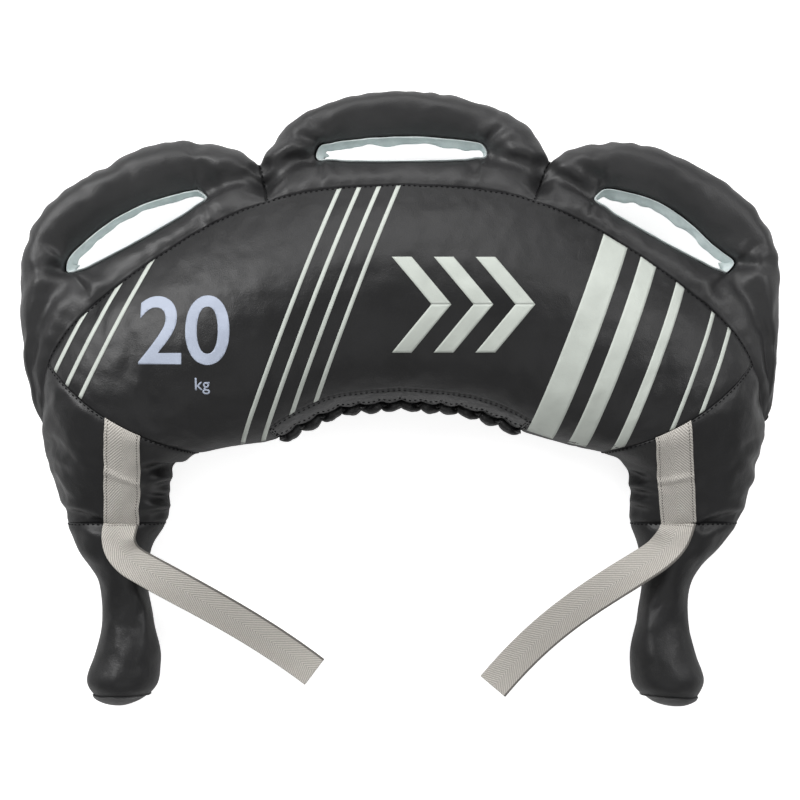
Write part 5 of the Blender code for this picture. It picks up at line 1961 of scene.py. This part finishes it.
@dataclass
class Bag:
    """The whole bag: the cover's panels and everything that is laid on it or sewn to it."""

    shape: Crescent = field(default_factory=Crescent)
    thin_stripe: float = 0.0036
    thread_inset: float = 0.0026

    def build(self) -> None:
        """Make every piece in order."""
        self.net = CoverNet(self.shape)
        self.cover = Cover(self.net)
        self.cover.build()
        self.surface = Surface(self.cover)
        self.make_panels()
        self.make_linings()
        self.make_hem()
        self.make_straps()
        self.make_stitches()
        self.make_print()
        self.surface.clear()

    def make_panels(self) -> None:
        """Cut the cover into its panels and dress them."""
        black = CoatedFabric("coated_fabric").make()
        # The handles get a lighter copy of the black fabric: painted sheen, standing in for the brighter
        # light on their tubes.
        handle_sheen_colours = (0.020, 0.020, 0.0207, 1.0), (0.034, 0.034, 0.035, 1.0)
        handle = CoatedFabric("handle_fabric", *handle_sheen_colours).make()
        # The neck band gets lighter colours too: painted sheen, standing in for the highlights along the
        # band.
        band = CoatedFabric(
            "band_fabric", (0.034, 0.034, 0.035, 1.0), (0.085, 0.085, 0.086, 1.0), 0.34,
            crease=0.009, crease_depth=0.0022,
        ).make()
        fabrics = {panel: handle for panel in Panel if panel.value.startswith("handle")}
        fabrics[Panel.NECK] = band
        stood_for = {
            Panel.FRONT: ("filling_sack_centre", "filling_sack_left", "filling_sack_right"),
            Panel.GRIP_LEFT: ("grip_filling_left",),
            Panel.GRIP_RIGHT: ("grip_filling_right",),
        }
        for side in ("left", "centre", "right"):
            stood_for[Panel("handle_front_" + side)] = ("handle_padding_" + side,)
        for panel in Panel:
            item = self.cover.cut(panel)
            dress(item, fabrics.get(panel, black), "bag")
            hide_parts(panel.value, *stood_for.get(panel, ()))

    def make_linings(self) -> None:
        """Line the three hand slots."""
        cloth = LiningCloth("lining_cloth").make()
        for name, slack in LINING_SLACKS.items():
            lining = SlotLining(self.cover, name, slack)
            item = lining.build()
            dress(item, cloth, "bag")
            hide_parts("slot_lining_" + name)

    def make_hem(self) -> None:
        """Gather the hem under the neck band."""
        hem = NeckHem(self.cover)
        item = hem.build()
        glossy = CoatedFabric("hem_fabric", roughness=0.26, crease=0.005, crease_depth=0.0006).make()
        dress(item, glossy, "bag")
        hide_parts("neck_hem")

    def make_straps(self) -> None:
        """Sew the two straps down and let their tails fall."""
        webbing = Webbing("herringbone_webbing").make()
        # The tails' webbing has a painted shadow along one edge.
        tail_webbing = Webbing("tail_webbing", painted_shadow_edge=0.0021).make()
        self.sewn, self.tails = {}, {}
        for plan in STRAPS:
            joint = next(j for j in frame["joints"] if j["name"] == plan.name + "_tail_swing")
            root = tuple(joint["pos_m"])
            sewn = SewnStrap(self.cover, self.surface, plan.sign, plan.top, root[:2])
            item = sewn.build("sewn_strap_%s_webbing" % plan.name)
            dress(item, webbing, "bag")
            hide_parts("sewn_strap_" + plan.name)
            angles = [math.radians(angle) for angle in plan.turns]
            tail = TailStrap(self.surface, root, sewn.grid[-1, :, 2], plan.sign, *angles, plan.length)
            item = tail.build("strap_tail_%s_webbing" % plan.name)
            dress(item, tail_webbing, "")
            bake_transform(item)
            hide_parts("strap_tail_" + plan.name)
            self.sewn[plan.name], self.tails[plan.name] = sewn, tail

    def make_print(self) -> None:
        """Print the front panel with plain motifs and the weight."""
        prints = FrontPrint(self.cover, self.surface)
        pale = PrintInk("pale_ink", (0.60, 0.64, 0.59, 1.0)).make()
        grey = PrintInk("grey_ink", (0.44, 0.49, 0.60, 1.0)).make()
        thin = self.thin_stripe
        motifs = prints.stripes(-0.345, 0.018, [thin] * 3, 0.13, -0.06, 0.20)
        motifs += prints.stripes(-0.155, 0.017, [thin] * 4)
        for number in range(3):
            motifs += prints.arrow((0.044 + 0.036 * number, 0.082), 0.034, 0.082, 0.017)
        motifs += prints.stripes(0.105, 0.036, [0.024, 0.016, 0.009])
        motifs += prints.stripes(0.215, 0.020, [thin] * 2)
        item = prints.print_patches("front_stripes", motifs)
        dress(item, pale, "bag")
        figures = prints.print_words("weight_figures", "20", (-0.186, 0.060), 0.060, 0.012)
        dress(figures, grey, "bag")
        letters = prints.print_words("weight_unit", "kg", (-0.170, 0.012), 0.014, 0.006)
        dress(letters, grey, "bag")

    def row_line(
        self, grid: str, row: int, low: float, high: float, inset: float, sway: float = 0.0,
    ) -> Array:
        """Return a line on the cover beside a row of a grid, between two stations.

        Args:
            grid: the name of the grid.
            row: the row, counted from the end if negative.
            low: the first station.
            high: the last station.
            inset: how far the line lies from the row, towards the next row inward.
            sway: how far the line swings to both sides, once at each of the hem's rolls.
        """
        stations = self.net.rim_stations if grid.startswith("rim") else self.net.stations
        inside = (stations >= low) & (stations <= high)
        numbers = self.net.numbers[grid][inside]
        beside = row - 1 if row < 0 else row + 1
        start, following = self.cover.points[numbers[:, row]], self.cover.points[numbers[:, beside]]
        swing = sway * np.cos(2.0 * self.net.hem_phase(start)) if sway else np.zeros(len(start))
        return start + unit(following - start) * (inset + swing)[:, None]

    def station_line(self, grid: str, station: float, low: int, high: int, inset: float) -> Array:
        """Return a line on the cover beside a station, between two rows, shifted towards the middle."""
        stations = self.net.rim_stations if grid.startswith("rim") else self.net.stations
        at = int(np.argmin(np.abs(stations - station)))
        towards = -1 if (station > 0.0) == (inset > 0.0) else 1
        numbers, beside = self.net.numbers[grid][at, low:high], self.net.numbers[grid][at + towards, low:high]
        start, following = self.cover.points[numbers], self.cover.points[beside]
        return start + unit(following - start) * abs(inset)

    def make_stitches(self) -> None:
        """Stitch every seam that shows."""
        thread = Thread("black_thread").make()
        net = self.net
        end, valley, neck = self.shape.panel_end, self.shape.valley, self.shape.neck_end
        whole = net.main_rows + net.neck_rows + 1
        sides = (-1.0, 1.0)
        rows = {
            "rim_stitches": [self.row_line("front", -1, -end, end, 0.0016)],
            "back_rim_stitches": [self.row_line("back", -1, -end, end, 0.0016)],
            "neck_stitches": [
                self.row_line("front", 2, -neck, neck, -0.0004, 0.0010),
                self.row_line("front", net.neck_rows, -neck, neck, -0.0012),
            ],
            "band_end_stitches": [
                self.station_line("front", side * neck, 0, net.neck_rows + 1, inset)
                for side in sides for inset in (0.0015, 0.0040)
            ],
            "valley_stitches": [
                self.station_line("rim_front", side * valley, 0, net.band_rows + net.handle_rows, 0.0014)
                for side in sides
            ],
            "end_panel_stitches": [
                self.station_line(grid, side * end, 0, whole, -0.0016)
                for side in sides for grid in ("front", "back")
            ],
            "waist_stitches": [
                self.station_line(grid, side, 0, whole, -0.002)
                for side in sides for grid in ("front", "back")
            ],
        }
        for name, lines in rows.items():
            item = StitchLine(self.surface, thick=0.00058).build(name, lines)
            dress(item, thread, "bag")
        grey = Thread("grey_thread", (0.055, 0.052, 0.047, 1.0)).make()
        for name, sewn in self.sewn.items():
            tail = self.tails[name]
            face = StrapFace(sewn.grid, sewn.thickness)
            insets = (self.thread_inset, sewn.width - self.thread_inset)
            lines = [face.line(inset, sewn.width) for inset in insets]
            stitches = StitchLine(face, pitch=0.0028, length=0.0018, thick=0.00042)
            dress(stitches.build("strap_stitches_" + name, lines), grey, "bag")
            face = StrapFace(tail.grid, tail.thickness)
            root = StitchLine(face, pitch=0.0024, length=0.0015, thick=0.0003)
            crossing = tail.grid[1, 1:-1]
            dress(root.build("root_stitches_" + name, [crossing]), grey, "bag")


def main() -> None:
    """Build the bag, piece by piece, and light it."""
    logging.basicConfig(level=logging.INFO, format="%(name)s: %(message)s")
    Studio().build()
    Bag().build()


if __name__ == "__main__":
    main()
